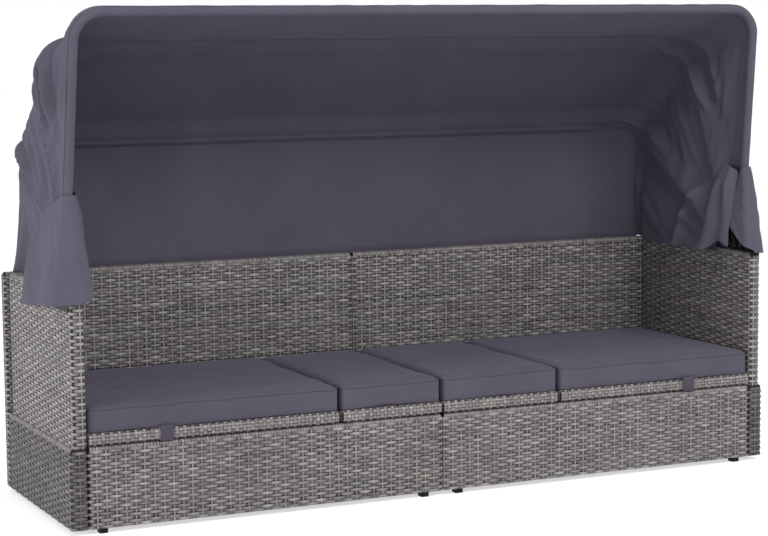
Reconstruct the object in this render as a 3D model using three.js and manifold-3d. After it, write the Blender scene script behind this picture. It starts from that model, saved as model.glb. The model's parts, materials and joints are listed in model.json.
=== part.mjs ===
// An outdoor daybed with two reclining seat boards and a folding canopy.
// Millimetres: X runs along the seat, Y to the back and Z up, from the middle of the footprint on the floor.
// Every left-hand piece is modelled at negative X, and the right-hand one is its mirror image.

import * as THREE from "three";
import { mergeVertices } from "three/addons/utils/BufferGeometryUtils.js";
import Module from "manifold-3d";

const wasm = await Module();
wasm.setup();

// Overall sizes
const WIDTH = 2000;
const DEPTH = 600;
const BACK_HEIGHT = 585;
const BASE_HEIGHT = 213;
const FOOT_HEIGHT = 12;

// Woven panels on steel frames
const PANEL_THICKNESS = 34;
const ARM_THICKNESS = 30;
const ARM_BASE_THICKNESS = 40;
const ARM_GROOVE = 8;
const WEAVE = 4.2;
const WEAVE_EDGE = 6;
const RAIL_TUBE = 25;
const TUBE_WALL = 1.5;
const DRAIN_RADIUS = 3;
const ARM_UPRIGHTS = 4;
const PANEL_UPRIGHTS = 6;
const SEAM = 3;
const FIT = 0.3;
const OVERRUN = 10;

// Seat rails, boards and their recliners
const SEAT_RAIL_WIDTH = 20;
const SEAT_GAP = 5;
const BOARD_THICKNESS = 27;
const CROSS_BAR_WIDTH = 22;
const LEFT_RECLINER_LENGTH = 664;
const RIGHT_RECLINER_LENGTH = 604;
const HINGE_RISE = 18;
const HINGE_GAP = 8;
const HINGE_LUG_RADIUS = 3.5;
const HINGE_LUG_WIDTH = 14;
const HINGE_LUG_COUNT = 4;
const HINGE_LUG_INSET = 20;
const HINGE_ROD_RADIUS = 1.7;

// Prop bails under the recliners and the notched racks that they stand in
const BAIL_REACH = 250;
const BAIL_END_ROOM = 39;
const BAIL_WIDTH = 190;
const BAIL_ROD_RADIUS = 4;
const BAIL_BEND = 12;
const BAIL_DROP = 8;
const BAIL_FALL = 20;
const BAIL_EAR_THICKNESS = 4;
const BAIL_EAR_RADIUS = 7.5;
const RACK_BAR = 16;
const RACK_THICKNESS = 5;
const RACK_HEIGHT = 20;
const RACK_CLEARANCE = 1;
const RACK_SPACING = 150;
const NOTCH_DEPTH = 8;
const NOTCH_PITCH = 52;

// Cushions
const CUSHION_THICKNESS = 64;
const CUSHION_CROWN = 8;
const CUSHION_DRAW_IN = 5;
const CUSHION_COLUMNS = 12;
const CUSHION_ROWS = 10;

// Bolts and feet
const BOLT_RADIUS = 4;
const BOLT_HEAD_RADIUS = 8;
const BOLT_HEAD_HEIGHT = 4;
const BOLT_LENGTH = 15;
const FOOT_WIDTH = 20;
const FOOT_DEPTH = 24;
const FOOT_INSET = 80;
const INNER_FOOT_INSET = 50;

// Canopy hoops on one pivot bolt a side
const PIVOT_INSET = 80;
const PIVOT_RISE = 22;
const HOOP_TUBE_RADIUS = 9.5;
const HOOP_WALL = 1.2;
const HOOP_BEND = 72;
const HOOP_TAIL = 11;
const HOOP_STUB = 130;
const HOOP_CLEARANCE = 0.5;
const HOOP_PITCH = 21;
const HOOP_SIZES = {
  front: { angle: 97, length: 656, place: 0, lean: -14 },
  mid: { angle: 66, length: 610, place: 1, lean: 3 },
  rear: { angle: 32, length: 607, place: 2, lean: 11 },
};
const PIVOT_BOLT_RADIUS = 4;
const PIVOT_HEAD_RADIUS = 7.5;
const PIVOT_HEAD_HEIGHT = 5;
const PIVOT_NUT_THICKNESS = 6;
const BRACKET_THICKNESS = 4;
const BRACKET_FRONT = 8;
const BRACKET_LENGTH = 132;
const BRACKET_DROP = 42;
const BRACKET_CHAMFER = 22;
const BRACKET_EAR_RADIUS = 25;
const BRACKET_BOLT_LEAD = 12;

// Canopy cloth
const CLOTH = 1.5;
const CLOTH_OFFSET = 13;
const CLOTH_SEAM = 1.2;
const CLOTH_REACH = 22;
const CLOTH_SIDE_REACH = 12;
const CLOTH_SAG_SHARE = 0.045;
const CLOTH_FOLD_SHARE = 0.014;
const SLEEVE_THICKNESS = 1.4;
const SLEEVE_START = 226;
const GUSSET_START = 72;
const CURTAIN_START = 82;
const CURTAIN_SIDE_RISE = 27;
const CURTAIN_SIDE_REACH = 2;
const CURTAIN_HEM_DROP = 29;
const FLAP_START = 212;
const FLAP_TOP_LENGTH = 161;
const FLAP_TOP_RISE = 152;
const FLAP_HEM_LENGTH = 290;
const FLAP_HEM_FRONT_RISE = 7;
const FLAP_HEM_REAR_DROP = 50;
const FLAP_WRAP = 76;
const FLAP_BEND_SHARE = 0.3;

// Places that follow from the sizes above
const HALF_WIDTH = WIDTH / 2;
const HALF_DEPTH = DEPTH / 2;
const ARM_INNER_X = HALF_WIDTH - ARM_BASE_THICKNESS;
const ARM_OUTER_X = ARM_INNER_X + ARM_THICKNESS;
const BACK_FRONT_Y = HALF_DEPTH - PANEL_THICKNESS;
const FRONT_BACK_Y = -HALF_DEPTH + PANEL_THICKNESS;
const BAY_OUTER_X = ARM_INNER_X - SEAM;
const BAY_INNER_X = SEAM / 2;
const SEAT_HEIGHT = BASE_HEIGHT + SEAT_GAP;
const BOARD_TOP = SEAT_HEIGHT + BOARD_THICKNESS;
const HINGE_HEIGHT = SEAT_HEIGHT + HINGE_RISE;
const LEFT_HINGE_X = BAY_OUTER_X - LEFT_RECLINER_LENGTH - HINGE_GAP / 2;
const RIGHT_HINGE_X = BAY_OUTER_X - RIGHT_RECLINER_LENGTH - HINGE_GAP / 2;
const BAIL_LENGTH = Math.min(LEFT_RECLINER_LENGTH, RIGHT_RECLINER_LENGTH) - BAIL_REACH - BAIL_END_ROOM;
const BAIL_PIVOT_HEIGHT = SEAT_HEIGHT - BAIL_DROP;
const BAIL_FOOT_HEIGHT = BAIL_PIVOT_HEIGHT - BAIL_FALL;
const RACK_TOP = BAIL_FOOT_HEIGHT - BAIL_ROD_RADIUS - RACK_CLEARANCE;
const BOARD_TUBE = BOARD_THICKNESS - WEAVE - FIT;
const BOARD_DEPTH_RANGE = [-HALF_DEPTH, BACK_FRONT_Y - SEAM];
const RAIL_TOP = SEAT_HEIGHT - FIT;
const RAIL_BOTTOM = RAIL_TOP - RAIL_TUBE;
const FRONT_RAIL_Y = [FRONT_BACK_Y + FIT, FRONT_BACK_Y + FIT + SEAT_RAIL_WIDTH];
const REAR_RAIL_Y = [BACK_FRONT_Y - FIT - SEAT_RAIL_WIDTH, BACK_FRONT_Y - FIT];
const LOWER_BAR_TOP = RAIL_BOTTOM - FIT;
const PIVOT_Y = -HALF_DEPTH + PIVOT_INSET;
const PIVOT_HEIGHT = BACK_HEIGHT + PIVOT_RISE;
const FRONT_HOOP_X = ARM_OUTER_X - HOOP_TUBE_RADIUS - HOOP_CLEARANCE;

// Facets and steps of the rounded shapes
const HARDWARE_SIDES = 8;
const NUT_SIDES = 6;
const SLAB_CORNER_SHARE = 1.2;
const BRACKET_ARC_STEPS = 6;
const BAIL_BEND_STEPS = 2;
const CROWN_POWER = 4;
const HEM_DROP_POWER = 4;
const GUSSET_STEPS = 4;
const BEND_STEPS = 4;
const TOP_STEPS = 6;
const PANEL_ROWS = 5;

const DEGREE = Math.PI / 180;
const AXES = [
  new THREE.Vector3(1, 0, 0),
  new THREE.Vector3(0, 1, 0),
  new THREE.Vector3(0, 0, 1),
];

const weaveMaterial = new THREE.MeshStandardMaterial({ color: 0x8b8683, roughness: 0.62, metalness: 0 });
const steelMaterial = new THREE.MeshStandardMaterial({ color: 0x2c2b2e, roughness: 0.45, metalness: 0.6 });
const zincMaterial = new THREE.MeshStandardMaterial({ color: 0xa3a4a6, roughness: 0.35, metalness: 0.9 });
const canopyMaterial = new THREE.MeshStandardMaterial({
  color: 0x5f5b6b,
  roughness: 0.85,
  metalness: 0,
  side: THREE.DoubleSide,
});
const cushionMaterial = new THREE.MeshStandardMaterial({ color: 0x575363, roughness: 0.9, metalness: 0 });
const footMaterial = new THREE.MeshStandardMaterial({ color: 0x1a1a1b, roughness: 0.7, metalness: 0 });

// Ranges and plain shapes

function inset(range, by) {
  return [range[0] + by, range[1] - by];
}

// A faceted hole whose flats stay clear of a rod, however the rod is turned.
function holeRadius(rodRadius) {
  return (rodRadius + FIT) / Math.cos(Math.PI / HARDWARE_SIDES);
}

function around(centre, width) {
  return [centre - width / 2, centre + width / 2];
}

// Turns a shape drawn in X and Y and extruded along Z so that it is extruded along the given axis.
function turnedTo(geometry, axis) {
  const basis = new THREE.Matrix4().makeBasis(AXES[(axis + 1) % 3], AXES[(axis + 2) % 3], AXES[axis]);
  return geometry.applyMatrix4(basis);
}

function block(x, y, z) {
  const geometry = new THREE.BoxGeometry(x[1] - x[0], y[1] - y[0], z[1] - z[0]);
  return geometry.translate((x[0] + x[1]) / 2, (y[0] + y[1]) / 2, (z[0] + z[1]) / 2);
}

function rectangle(a, b) {
  return [
    new THREE.Vector2(a[0], b[0]),
    new THREE.Vector2(a[1], b[0]),
    new THREE.Vector2(a[1], b[1]),
    new THREE.Vector2(a[0], b[1]),
  ];
}

function polygon(radius, sides, [a, b] = [0, 0]) {
  const points = [];
  for (let i = 0; i < sides; i += 1) {
    const angle = (2 * Math.PI * (i + 0.5)) / sides;
    points.push(new THREE.Vector2(a + radius * Math.cos(angle), b + radius * Math.sin(angle)));
  }
  return points;
}

// A plate or ring: an outline with holes, extruded over a range of one axis.
function extruded(outline, holes, axis, range) {
  const shape = new THREE.Shape(outline);
  shape.holes = holes.map((points) => new THREE.Path(points));
  const geometry = new THREE.ExtrudeGeometry(shape, { depth: range[1] - range[0], bevelEnabled: false });
  return turnedTo(geometry.translate(0, 0, range[0]), axis);
}

// A box whose edges are rounded, drawn in the plane across its thin axis.
function roundedSlab(x, y, z, thin, radius) {
  const ranges = [x, y, z];
  const a = ranges[(thin + 1) % 3];
  const b = ranges[(thin + 2) % 3];
  const corner = SLAB_CORNER_SHARE * radius;
  const shape = new THREE.Shape();
  shape.absarc(a[1] - corner, b[0] + corner, corner, -Math.PI / 2, 0);
  shape.absarc(a[1] - corner, b[1] - corner, corner, 0, Math.PI / 2);
  shape.absarc(a[0] + corner, b[1] - corner, corner, Math.PI / 2, Math.PI);
  shape.absarc(a[0] + corner, b[0] + corner, corner, Math.PI, 1.5 * Math.PI);
  const geometry = new THREE.ExtrudeGeometry(shape, {
    depth: ranges[thin][1] - ranges[thin][0] - 2 * radius,
    bevelThickness: radius,
    bevelSize: radius,
    bevelOffset: -radius,
    bevelSegments: 2,
    curveSegments: 1,
  });
  return turnedTo(geometry.translate(0, 0, ranges[thin][0] + radius), thin);
}

// A square tube, open at both ends.
function boxTube(x, y, z, axis) {
  const ranges = [x, y, z];
  const a = ranges[(axis + 1) % 3];
  const b = ranges[(axis + 2) % 3];
  const bore = rectangle(inset(a, TUBE_WALL), inset(b, TUBE_WALL));
  return extruded(rectangle(a, b), [bore], axis, ranges[axis]);
}

function cylinder(radius, axis, range, centre, sides = HARDWARE_SIDES) {
  return extruded(polygon(radius, sides, centre), [], axis, range);
}

function ring(radius, bore, axis, range, centre) {
  const hole = polygon(bore, HARDWARE_SIDES, centre);
  return extruded(polygon(radius, HARDWARE_SIDES, centre), [hole], axis, range);
}

// A path whose stations are exactly the points given, for a tube with as few rings as it needs.
class StationPath extends THREE.Curve {
  constructor(points) {
    super();
    this.points = points;
  }

  getPoint(t, target = new THREE.Vector3()) {
    const at = t * (this.points.length - 1);
    const index = Math.min(Math.floor(at), this.points.length - 2);
    return target.copy(this.points[index]).lerp(this.points[index + 1], at - index);
  }

  getUtoTmapping(u) {
    return u;
  }
}

function sweptTube(points, radius, bore) {
  const shape = new THREE.Shape(polygon(radius, HARDWARE_SIDES));
  if (bore > 0) shape.holes = [new THREE.Path(polygon(bore, HARDWARE_SIDES))];
  const extrudePath = new StationPath(points);
  return new THREE.ExtrudeGeometry(shape, { steps: points.length - 1, extrudePath });
}

// Joining and cutting

function solid(geometry) {
  const bare = geometry.clone();
  bare.deleteAttribute("normal");
  bare.deleteAttribute("uv");
  const merged = mergeVertices(bare);
  const vertProperties = new Float32Array(merged.attributes.position.array);
  const triVerts = new Uint32Array(merged.index.array);
  return new wasm.Manifold(new wasm.Mesh({ numProp: 3, vertProperties, triVerts }));
}

function geometryOf(manifold) {
  const { vertProperties, triVerts } = manifold.getMesh();
  const geometry = new THREE.BufferGeometry();
  geometry.setAttribute("position", new THREE.BufferAttribute(vertProperties, 3));
  geometry.setIndex(new THREE.BufferAttribute(triVerts, 1));
  const faceted = geometry.toNonIndexed();
  faceted.computeVertexNormals();
  return faceted;
}

function joined(geometries) {
  return geometryOf(geometries.map(solid).reduce((whole, piece) => whole.add(piece)));
}

function cutBy(geometry, cutters) {
  const whole = solid(geometry);
  return geometryOf(cutters.map(solid).reduce((rest, cutter) => rest.subtract(cutter), whole));
}

// A flat welded frame of square tubes, whose thin side faces along the given axis. Two long bars,
// with their outer edges at the ends, are joined by bars at the given ranges of the first other
// axis. Every bore runs into the next one, and drain holes open them.
function flatFrame(axis, depth, bars, ends, tube, drains) {
  const box = (across, along, through) => {
    const ranges = [across, along];
    ranges.splice(axis, 0, through);
    return block(...ranges);
  };
  const windows = (grow) => {
    const gaps = bars.slice(1).map((bar, i) => [bars[i][1] - grow, bar[0] + grow]);
    return gaps.map((gap) => box(gap, inset(ends, tube - grow), inset(depth, -OVERRUN)));
  };
  const whole = [bars[0][0], bars[bars.length - 1][1]];
  const outside = cutBy(box(whole, ends, depth), windows(0));
  const hollow = box(inset(whole, TUBE_WALL), inset(ends, TUBE_WALL), inset(depth, TUBE_WALL));
  return cutBy(outside, [cutBy(hollow, windows(TUBE_WALL)), ...drains]);
}

// A hole through the lower wall of a tube whose underside is at the given height.
function drainHole(height, centre) {
  return cylinder(DRAIN_RADIUS, 2, [height - TUBE_WALL, height + 2 * TUBE_WALL], centre);
}

// Ranges of equally spaced bars, the first and last flush with the ends.
function spreadBars(range, count) {
  const pitch = (range[1] - range[0] - RAIL_TUBE) / (count - 1);
  return Array.from({ length: count }, (_, i) => {
    const low = range[0] + i * pitch;
    return [low, low + RAIL_TUBE];
  });
}

// A closed sheet between two grids of points, whose rows and columns match.
function closedSheet(outer, inner) {
  const rows = outer.length;
  const columns = outer[0].length;
  const points = [...outer.flat(), ...inner.flat()];
  const index = [];
  const front = (i, j) => i * columns + j;
  const behind = (i, j) => (rows + i) * columns + j;
  const quad = (a, b, c, d) => index.push(a, b, c, a, c, d);
  for (let i = 0; i + 1 < rows; i += 1) {
    for (let j = 0; j + 1 < columns; j += 1) {
      quad(front(i, j), front(i, j + 1), front(i + 1, j + 1), front(i + 1, j));
      quad(behind(i, j), behind(i + 1, j), behind(i + 1, j + 1), behind(i, j + 1));
    }
    const last = columns - 1;
    quad(front(i, 0), front(i + 1, 0), behind(i + 1, 0), behind(i, 0));
    quad(front(i + 1, last), front(i, last), behind(i, last), behind(i + 1, last));
  }
  for (let j = 0; j + 1 < columns; j += 1) {
    const last = rows - 1;
    quad(front(0, j + 1), front(0, j), behind(0, j), behind(0, j + 1));
    quad(front(last, j), front(last, j + 1), behind(last, j + 1), behind(last, j));
  }
  const geometry = new THREE.BufferGeometry().setFromPoints(points);
  geometry.setIndex(index);
  const faceted = geometry.toNonIndexed();
  faceted.computeVertexNormals();
  return faceted;
}

// Arms

function armWeave() {
  const y = [-HALF_DEPTH, BACK_FRONT_Y - FIT];
  const upperY = [-HALF_DEPTH, BACK_FRONT_Y - ARM_GROOVE];
  const upper = roundedSlab(
    [-ARM_OUTER_X, -ARM_INNER_X],
    upperY,
    [FOOT_HEIGHT, BACK_HEIGHT],
    0,
    WEAVE_EDGE,
  );
  const lower = roundedSlab([-HALF_WIDTH, -ARM_INNER_X], y, [FOOT_HEIGHT, BASE_HEIGHT], 0, WEAVE_EDGE);
  const floor = FOOT_HEIGHT - OVERRUN;
  const upperBore = block(
    [-ARM_OUTER_X + WEAVE, -ARM_INNER_X - WEAVE],
    inset(upperY, WEAVE),
    [floor, BACK_HEIGHT - WEAVE],
  );
  const lowerBore = block(
    [-HALF_WIDTH + WEAVE, -ARM_INNER_X - WEAVE],
    inset(y, WEAVE),
    [floor, BASE_HEIGHT - WEAVE],
  );
  return cutBy(joined([upper, lower]), [joined([upperBore, lowerBore]), bracketBoltHole()]);
}

function armFrame() {
  const skin = WEAVE + FIT;
  const x = [-ARM_OUTER_X + skin, -ARM_INNER_X - skin];
  const y = [-HALF_DEPTH + skin, BACK_FRONT_Y - ARM_GROOVE - skin];
  const z = [FOOT_HEIGHT, BACK_HEIGHT - skin];
  const bars = spreadBars(y, ARM_UPRIGHTS);
  const middle = (x[0] + x[1]) / 2;
  const drains = inset(y, 2 * RAIL_TUBE).map((at) => drainHole(z[0], [middle, at]));
  return cutBy(flatFrame(0, x, bars, z, RAIL_TUBE, drains), [bracketBoltHole()]);
}

// Back and front panels

function wovenPanel(x, y, z) {
  const shell = roundedSlab(x, y, z, 1, WEAVE_EDGE);
  const bore = block(inset(x, WEAVE), inset(y, WEAVE), [z[0] - OVERRUN, z[1] - WEAVE]);
  return cutBy(shell, [bore]);
}

function panelFrame(x, y, z) {
  const skin = WEAVE + FIT;
  const bars = spreadBars(inset(x, skin), PANEL_UPRIGHTS);
  const innerY = inset(y, skin);
  const middle = (y[0] + y[1]) / 2;
  const drains = inset(x, 2 * RAIL_TUBE).map((at) => drainHole(z[0], [at, middle]));
  return flatFrame(1, innerY, bars, [z[0], z[1] - skin], RAIL_TUBE, drains);
}

const BACK_PANEL = [
  [-HALF_WIDTH, -BAY_INNER_X],
  [BACK_FRONT_Y, HALF_DEPTH],
  [FOOT_HEIGHT, BACK_HEIGHT],
];
const FRONT_PANEL = [
  [-BAY_OUTER_X, -BAY_INNER_X],
  [-HALF_DEPTH, FRONT_BACK_Y],
  [FOOT_HEIGHT, BASE_HEIGHT],
];

// The seat frame: two rails and three cross bars

function seatFrame(hingeX) {
  const y = [FRONT_RAIL_Y[0], REAR_RAIL_Y[1]];
  const ends = [-BAY_OUTER_X + SEAT_RAIL_WIDTH / 2, -BAY_INNER_X - SEAT_RAIL_WIDTH / 2];
  const bars = [ends[0], -hingeX, ends[1]].map((at) => around(at, SEAT_RAIL_WIDTH));
  const drains = y.map((edge) => {
    return drainHole(RAIL_BOTTOM, [-hingeX / 2, edge - Math.sign(edge) * (SEAT_RAIL_WIDTH / 2)]);
  });
  return flatFrame(2, [RAIL_BOTTOM, RAIL_TOP], bars, y, SEAT_RAIL_WIDTH, drains);
}

// Under each seat frame, a rack frame of two bars and two notched racks for the prop bail's foot

function rackSupportX(hingeX) {
  return -hingeX - BAIL_REACH - SEAT_RAIL_WIDTH;
}

function notchRack(hingeX, y) {
  const weld = RACK_BAR / 2 - TUBE_WALL / 2;
  const x = [-BAY_OUTER_X + SEAT_RAIL_WIDTH / 2 + weld, rackSupportX(hingeX) - weld];
  const bottom = RACK_TOP - RACK_HEIGHT;
  const outline = [
    new THREE.Vector2(bottom, x[0]),
    new THREE.Vector2(bottom, x[1]),
    new THREE.Vector2(RACK_TOP, x[1]),
  ];
  for (let notch = x[1] - NOTCH_PITCH; notch - NOTCH_PITCH > x[0]; notch -= NOTCH_PITCH) {
    outline.push(new THREE.Vector2(RACK_TOP, notch));
    outline.push(new THREE.Vector2(RACK_TOP - NOTCH_DEPTH, notch));
    outline.push(new THREE.Vector2(RACK_TOP, notch - 2 * NOTCH_DEPTH));
  }
  outline.push(new THREE.Vector2(RACK_TOP, x[0]));
  return extruded(outline, [], 1, around(y, RACK_THICKNESS));
}

function rackFrame(hingeX) {
  const y = inset([FRONT_RAIL_Y[0], REAR_RAIL_Y[1]], SEAT_RAIL_WIDTH / 4);
  const z = [LOWER_BAR_TOP - RACK_BAR, LOWER_BAR_TOP];
  const bars = [-BAY_OUTER_X + SEAT_RAIL_WIDTH / 2, rackSupportX(hingeX)].map((at) => {
    return boxTube(around(at, RACK_BAR), y, z, 1);
  });
  const racks = [-RACK_SPACING / 2, RACK_SPACING / 2].map((at) => notchRack(hingeX, at));
  return joined([...bars, ...racks]);
}

// Hinge lugs on the facing edges of a small board, side 1, and its recliner, side -1

// The lugs' places along the hinge line, each between a fixed lug and a moving one.
function lugPlaces() {
  const first = FRONT_RAIL_Y[1] + HINGE_LUG_INSET;
  const last = REAR_RAIL_Y[0] - HINGE_LUG_INSET;
  return Array.from({ length: HINGE_LUG_COUNT }, (_, i) => {
    return first + ((last - first) * i) / (HINGE_LUG_COUNT - 1);
  });
}

function hingeRodRange() {
  const places = lugPlaces();
  const reach = HINGE_LUG_WIDTH + 2 * HINGE_ROD_RADIUS;
  return [places[0] - reach, places[places.length - 1] + reach];
}

// A lug round the hinge rod, on a plate that reaches the given box.
function hingeLug(hingeX, y, reachX, reachZ) {
  const centre = [HINGE_HEIGHT, -hingeX];
  return joined([
    cylinder(HINGE_LUG_RADIUS, 1, y, centre),
    block(reachX, y, reachZ),
  ]);
}

function lugRange(at, side) {
  return side < 0 ? [at - HINGE_LUG_WIDTH, at - FIT] : [at + FIT, at + HINGE_LUG_WIDTH];
}

function boardLugs(hingeX, side) {
  const root = -hingeX + side * (HINGE_GAP / 2 + WEAVE + FIT + TUBE_WALL / 2);
  const x = [-hingeX, root].sort((p, q) => p - q);
  const z = around(HINGE_HEIGHT, 2 * HINGE_LUG_RADIUS);
  return lugPlaces().map((at) => hingeLug(hingeX, lugRange(at, side), x, z));
}

// The slots that let the lugs out through the edge of a board's cover.
function lugSlots(hingeX, side) {
  const x = around(-hingeX + side * (HINGE_GAP / 2 + WEAVE / 2), WEAVE + 2 * FIT);
  const z = [SEAT_HEIGHT - OVERRUN, HINGE_HEIGHT + HINGE_LUG_RADIUS + FIT];
  return lugPlaces().map((at) => block(x, inset(lugRange(at, side), -FIT), z));
}

function hingeRodHole(hingeX) {
  const y = inset(hingeRodRange(), -OVERRUN);
  return cylinder(holeRadius(HINGE_ROD_RADIUS), 1, y, [HINGE_HEIGHT, -hingeX]);
}

// Seat boards

function boardFrame(x, barPlaces) {
  const skin = WEAVE + FIT;
  const innerX = inset(x, skin);
  const y = inset(BOARD_DEPTH_RANGE, skin);
  const half = CROSS_BAR_WIDTH / 2;
  const centres = [innerX[0] + half, ...barPlaces, innerX[1] - half];
  const bars = centres.sort((p, q) => p - q).map((at) => around(at, CROSS_BAR_WIDTH));
  const depth = [SEAT_HEIGHT, SEAT_HEIGHT + BOARD_TUBE];
  const drains = y.map((edge) => {
    return drainHole(SEAT_HEIGHT, [innerX[0] + CROSS_BAR_WIDTH, edge - Math.sign(edge) * half]);
  });
  return flatFrame(2, depth, bars, y, CROSS_BAR_WIDTH, drains);
}

function boardWeave(x, slots) {
  const shell = roundedSlab(x, BOARD_DEPTH_RANGE, [SEAT_HEIGHT, BOARD_TOP], 2, WEAVE_EDGE);
  const top = BOARD_TOP - WEAVE;
  const tray = block(inset(x, WEAVE), inset(BOARD_DEPTH_RANGE, WEAVE), [SEAT_HEIGHT - OVERRUN, top]);
  return cutBy(shell, [tray, ...slots]);
}

function hingeRod(hingeX) {
  return cylinder(HINGE_ROD_RADIUS, 1, hingeRodRange(), [HINGE_HEIGHT, -hingeX]);
}

function bailEars(hingeX) {
  const x = -hingeX - BAIL_REACH;
  const centre = [BAIL_PIVOT_HEIGHT, x];
  const inner = BAIL_WIDTH / 2 + BAIL_ROD_RADIUS + FIT;
  const hole = polygon(holeRadius(BAIL_ROD_RADIUS), HARDWARE_SIDES, centre);
  return [-1, 1].map((side) => {
    const y = [side * inner, side * (inner + BAIL_EAR_THICKNESS)].sort((a, b) => a - b);
    const plate = block(
      around(x, 2 * BAIL_EAR_RADIUS),
      y,
      [BAIL_PIVOT_HEIGHT, SEAT_HEIGHT + TUBE_WALL / 2],
    );
    const lug = extruded(polygon(BAIL_EAR_RADIUS, HARDWARE_SIDES, centre), [], 1, y);
    return cutBy(joined([plate, lug]), [extruded(hole, [], 1, [y[0] - FIT, y[1] + FIT])]);
  });
}

function smallFrame(x, hingeX) {
  const frame = boardFrame(x, [(x[0] + x[1]) / 2]);
  return cutBy(joined([frame, ...boardLugs(hingeX, 1)]), [hingeRodHole(hingeX)]);
}

function reclinerFrame(x, hingeX) {
  const bailX = -hingeX - BAIL_REACH;
  const bars = [bailX, (x[1] + bailX) / 2, (x[0] + bailX) / 2];
  const frame = boardFrame(x, bars);
  const lugs = boardLugs(hingeX, -1);
  return cutBy(joined([frame, ...bailEars(hingeX), ...lugs]), [hingeRodHole(hingeX)]);
}

// The bail is one bent rod: two pins out through the ears, two legs and a foot.
function propBail(hingeX) {
  const pivotX = -hingeX - BAIL_REACH;
  const half = BAIL_WIDTH / 2;
  const pinEnd = half + BAIL_ROD_RADIUS + BAIL_EAR_THICKNESS + 4 * FIT;
  const tilt = Math.asin((BAIL_PIVOT_HEIGHT - BAIL_FOOT_HEIGHT) / BAIL_LENGTH);
  const corner = (centreX, centreY, from, to) => {
    const points = [];
    for (let i = 0; i <= BAIL_BEND_STEPS; i += 1) {
      const angle = from + ((to - from) * i) / BAIL_BEND_STEPS;
      points.push([centreX + BAIL_BEND * Math.cos(angle), centreY + BAIL_BEND * Math.sin(angle)]);
    }
    return points;
  };
  const quarter = Math.PI / 2;
  const pinBend = BAIL_ROD_RADIUS;
  const plan = [
    [0, -pinEnd],
    [0, -half - pinBend / 2],
    [-pinBend, -half],
    ...corner(-BAIL_LENGTH + BAIL_BEND, -half + BAIL_BEND, -quarter, -2 * quarter),
    ...corner(-BAIL_LENGTH + BAIL_BEND, half - BAIL_BEND, 2 * quarter, quarter),
    [-pinBend, half],
    [0, half + pinBend / 2],
    [0, pinEnd],
  ];
  const points = plan.map(([out, y]) => {
    return new THREE.Vector3(
      pivotX + out * Math.cos(tilt),
      y,
      BAIL_PIVOT_HEIGHT + out * Math.sin(tilt),
    );
  });
  return sweptTube(points, BAIL_ROD_RADIUS, 0);
}

// Cushions

function cushion(x) {
  const y = BOARD_DEPTH_RANGE;
  const bottom = BOARD_TOP + FIT;
  const half = [(x[1] - x[0]) / 2, (y[1] - y[0]) / 2];
  const middle = [(x[0] + x[1]) / 2, (y[0] + y[1]) / 2];
  const grid = (height) => {
    const rows = [];
    for (let i = 0; i <= CUSHION_ROWS; i += 1) {
      const v = -Math.cos((Math.PI * i) / CUSHION_ROWS);
      const row = [];
      for (let j = 0; j <= CUSHION_COLUMNS; j += 1) {
        const u = -Math.cos((Math.PI * j) / CUSHION_COLUMNS);
        const px = middle[0] + u * half[0] - u * Math.abs(u) * CUSHION_DRAW_IN * (1 - v * v);
        const py = middle[1] + v * half[1] - v * Math.abs(v) * CUSHION_DRAW_IN * (1 - u * u);
        row.push(new THREE.Vector3(px, py, height(u, v)));
      }
      rows.push(row);
    }
    return rows;
  };
  const crowned = (u, v) => {
    const swell = (1 - u ** CROWN_POWER) * (1 - v ** CROWN_POWER);
    return bottom + CUSHION_THICKNESS + CUSHION_CROWN * swell;
  };
  return closedSheet(grid(crowned), grid(() => bottom));
}

// Feet, of which the rear middle one carries both halves

function foot(x, back) {
  const y = back * (HALF_DEPTH - PANEL_THICKNESS / 2);
  return block(around(x, FOOT_WIDTH), around(y, FOOT_DEPTH), [0, FOOT_HEIGHT - FIT]);
}

// Canopy brackets and pivots

const BRACKET_X = [-ARM_OUTER_X - FIT - BRACKET_THICKNESS, -ARM_OUTER_X - FIT];
const BRACKET_Y = [-HALF_DEPTH + BRACKET_FRONT, -HALF_DEPTH + BRACKET_FRONT + BRACKET_LENGTH];
const BRACKET_BOLT = [PIVOT_Y - BRACKET_BOLT_LEAD, BACK_HEIGHT - WEAVE - FIT - RAIL_TUBE / 2];

function bracketBoltHole() {
  const range = [BRACKET_X[0] - FIT, BRACKET_X[1] + BOLT_LENGTH];
  return cylinder(holeRadius(BOLT_RADIUS), 0, range, BRACKET_BOLT);
}

function canopyBracket() {
  const low = BACK_HEIGHT - BRACKET_DROP;
  const shoulder = low + BRACKET_CHAMFER;
  const [front, rear] = BRACKET_Y;
  const outline = [
    new THREE.Vector2(front, shoulder),
    new THREE.Vector2(front + BRACKET_CHAMFER / 2, low),
    new THREE.Vector2(rear - BRACKET_CHAMFER, low),
    new THREE.Vector2(rear, shoulder),
    new THREE.Vector2(rear, BACK_HEIGHT),
  ];
  for (let i = 0; i <= BRACKET_ARC_STEPS; i += 1) {
    const angle = (Math.PI * i) / BRACKET_ARC_STEPS;
    outline.push(
      new THREE.Vector2(
        PIVOT_Y + BRACKET_EAR_RADIUS * Math.cos(angle),
        PIVOT_HEIGHT + BRACKET_EAR_RADIUS * Math.sin(angle),
      ),
    );
  }
  outline.push(new THREE.Vector2(front, BACK_HEIGHT));
  const holes = [
    polygon(holeRadius(BOLT_RADIUS), HARDWARE_SIDES, BRACKET_BOLT),
    polygon(holeRadius(PIVOT_BOLT_RADIUS), HARDWARE_SIDES, [PIVOT_Y, PIVOT_HEIGHT]),
  ];
  return extruded(outline, holes, 0, BRACKET_X);
}

function bracketBolt() {
  const seat = BRACKET_X[0] - FIT;
  return joined([
    cylinder(BOLT_RADIUS, 0, [seat - FIT, BRACKET_X[1] + BOLT_LENGTH - FIT], BRACKET_BOLT),
    cylinder(BOLT_HEAD_RADIUS, 0, [seat - BOLT_HEAD_HEIGHT, seat], BRACKET_BOLT),
  ]);
}

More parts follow.
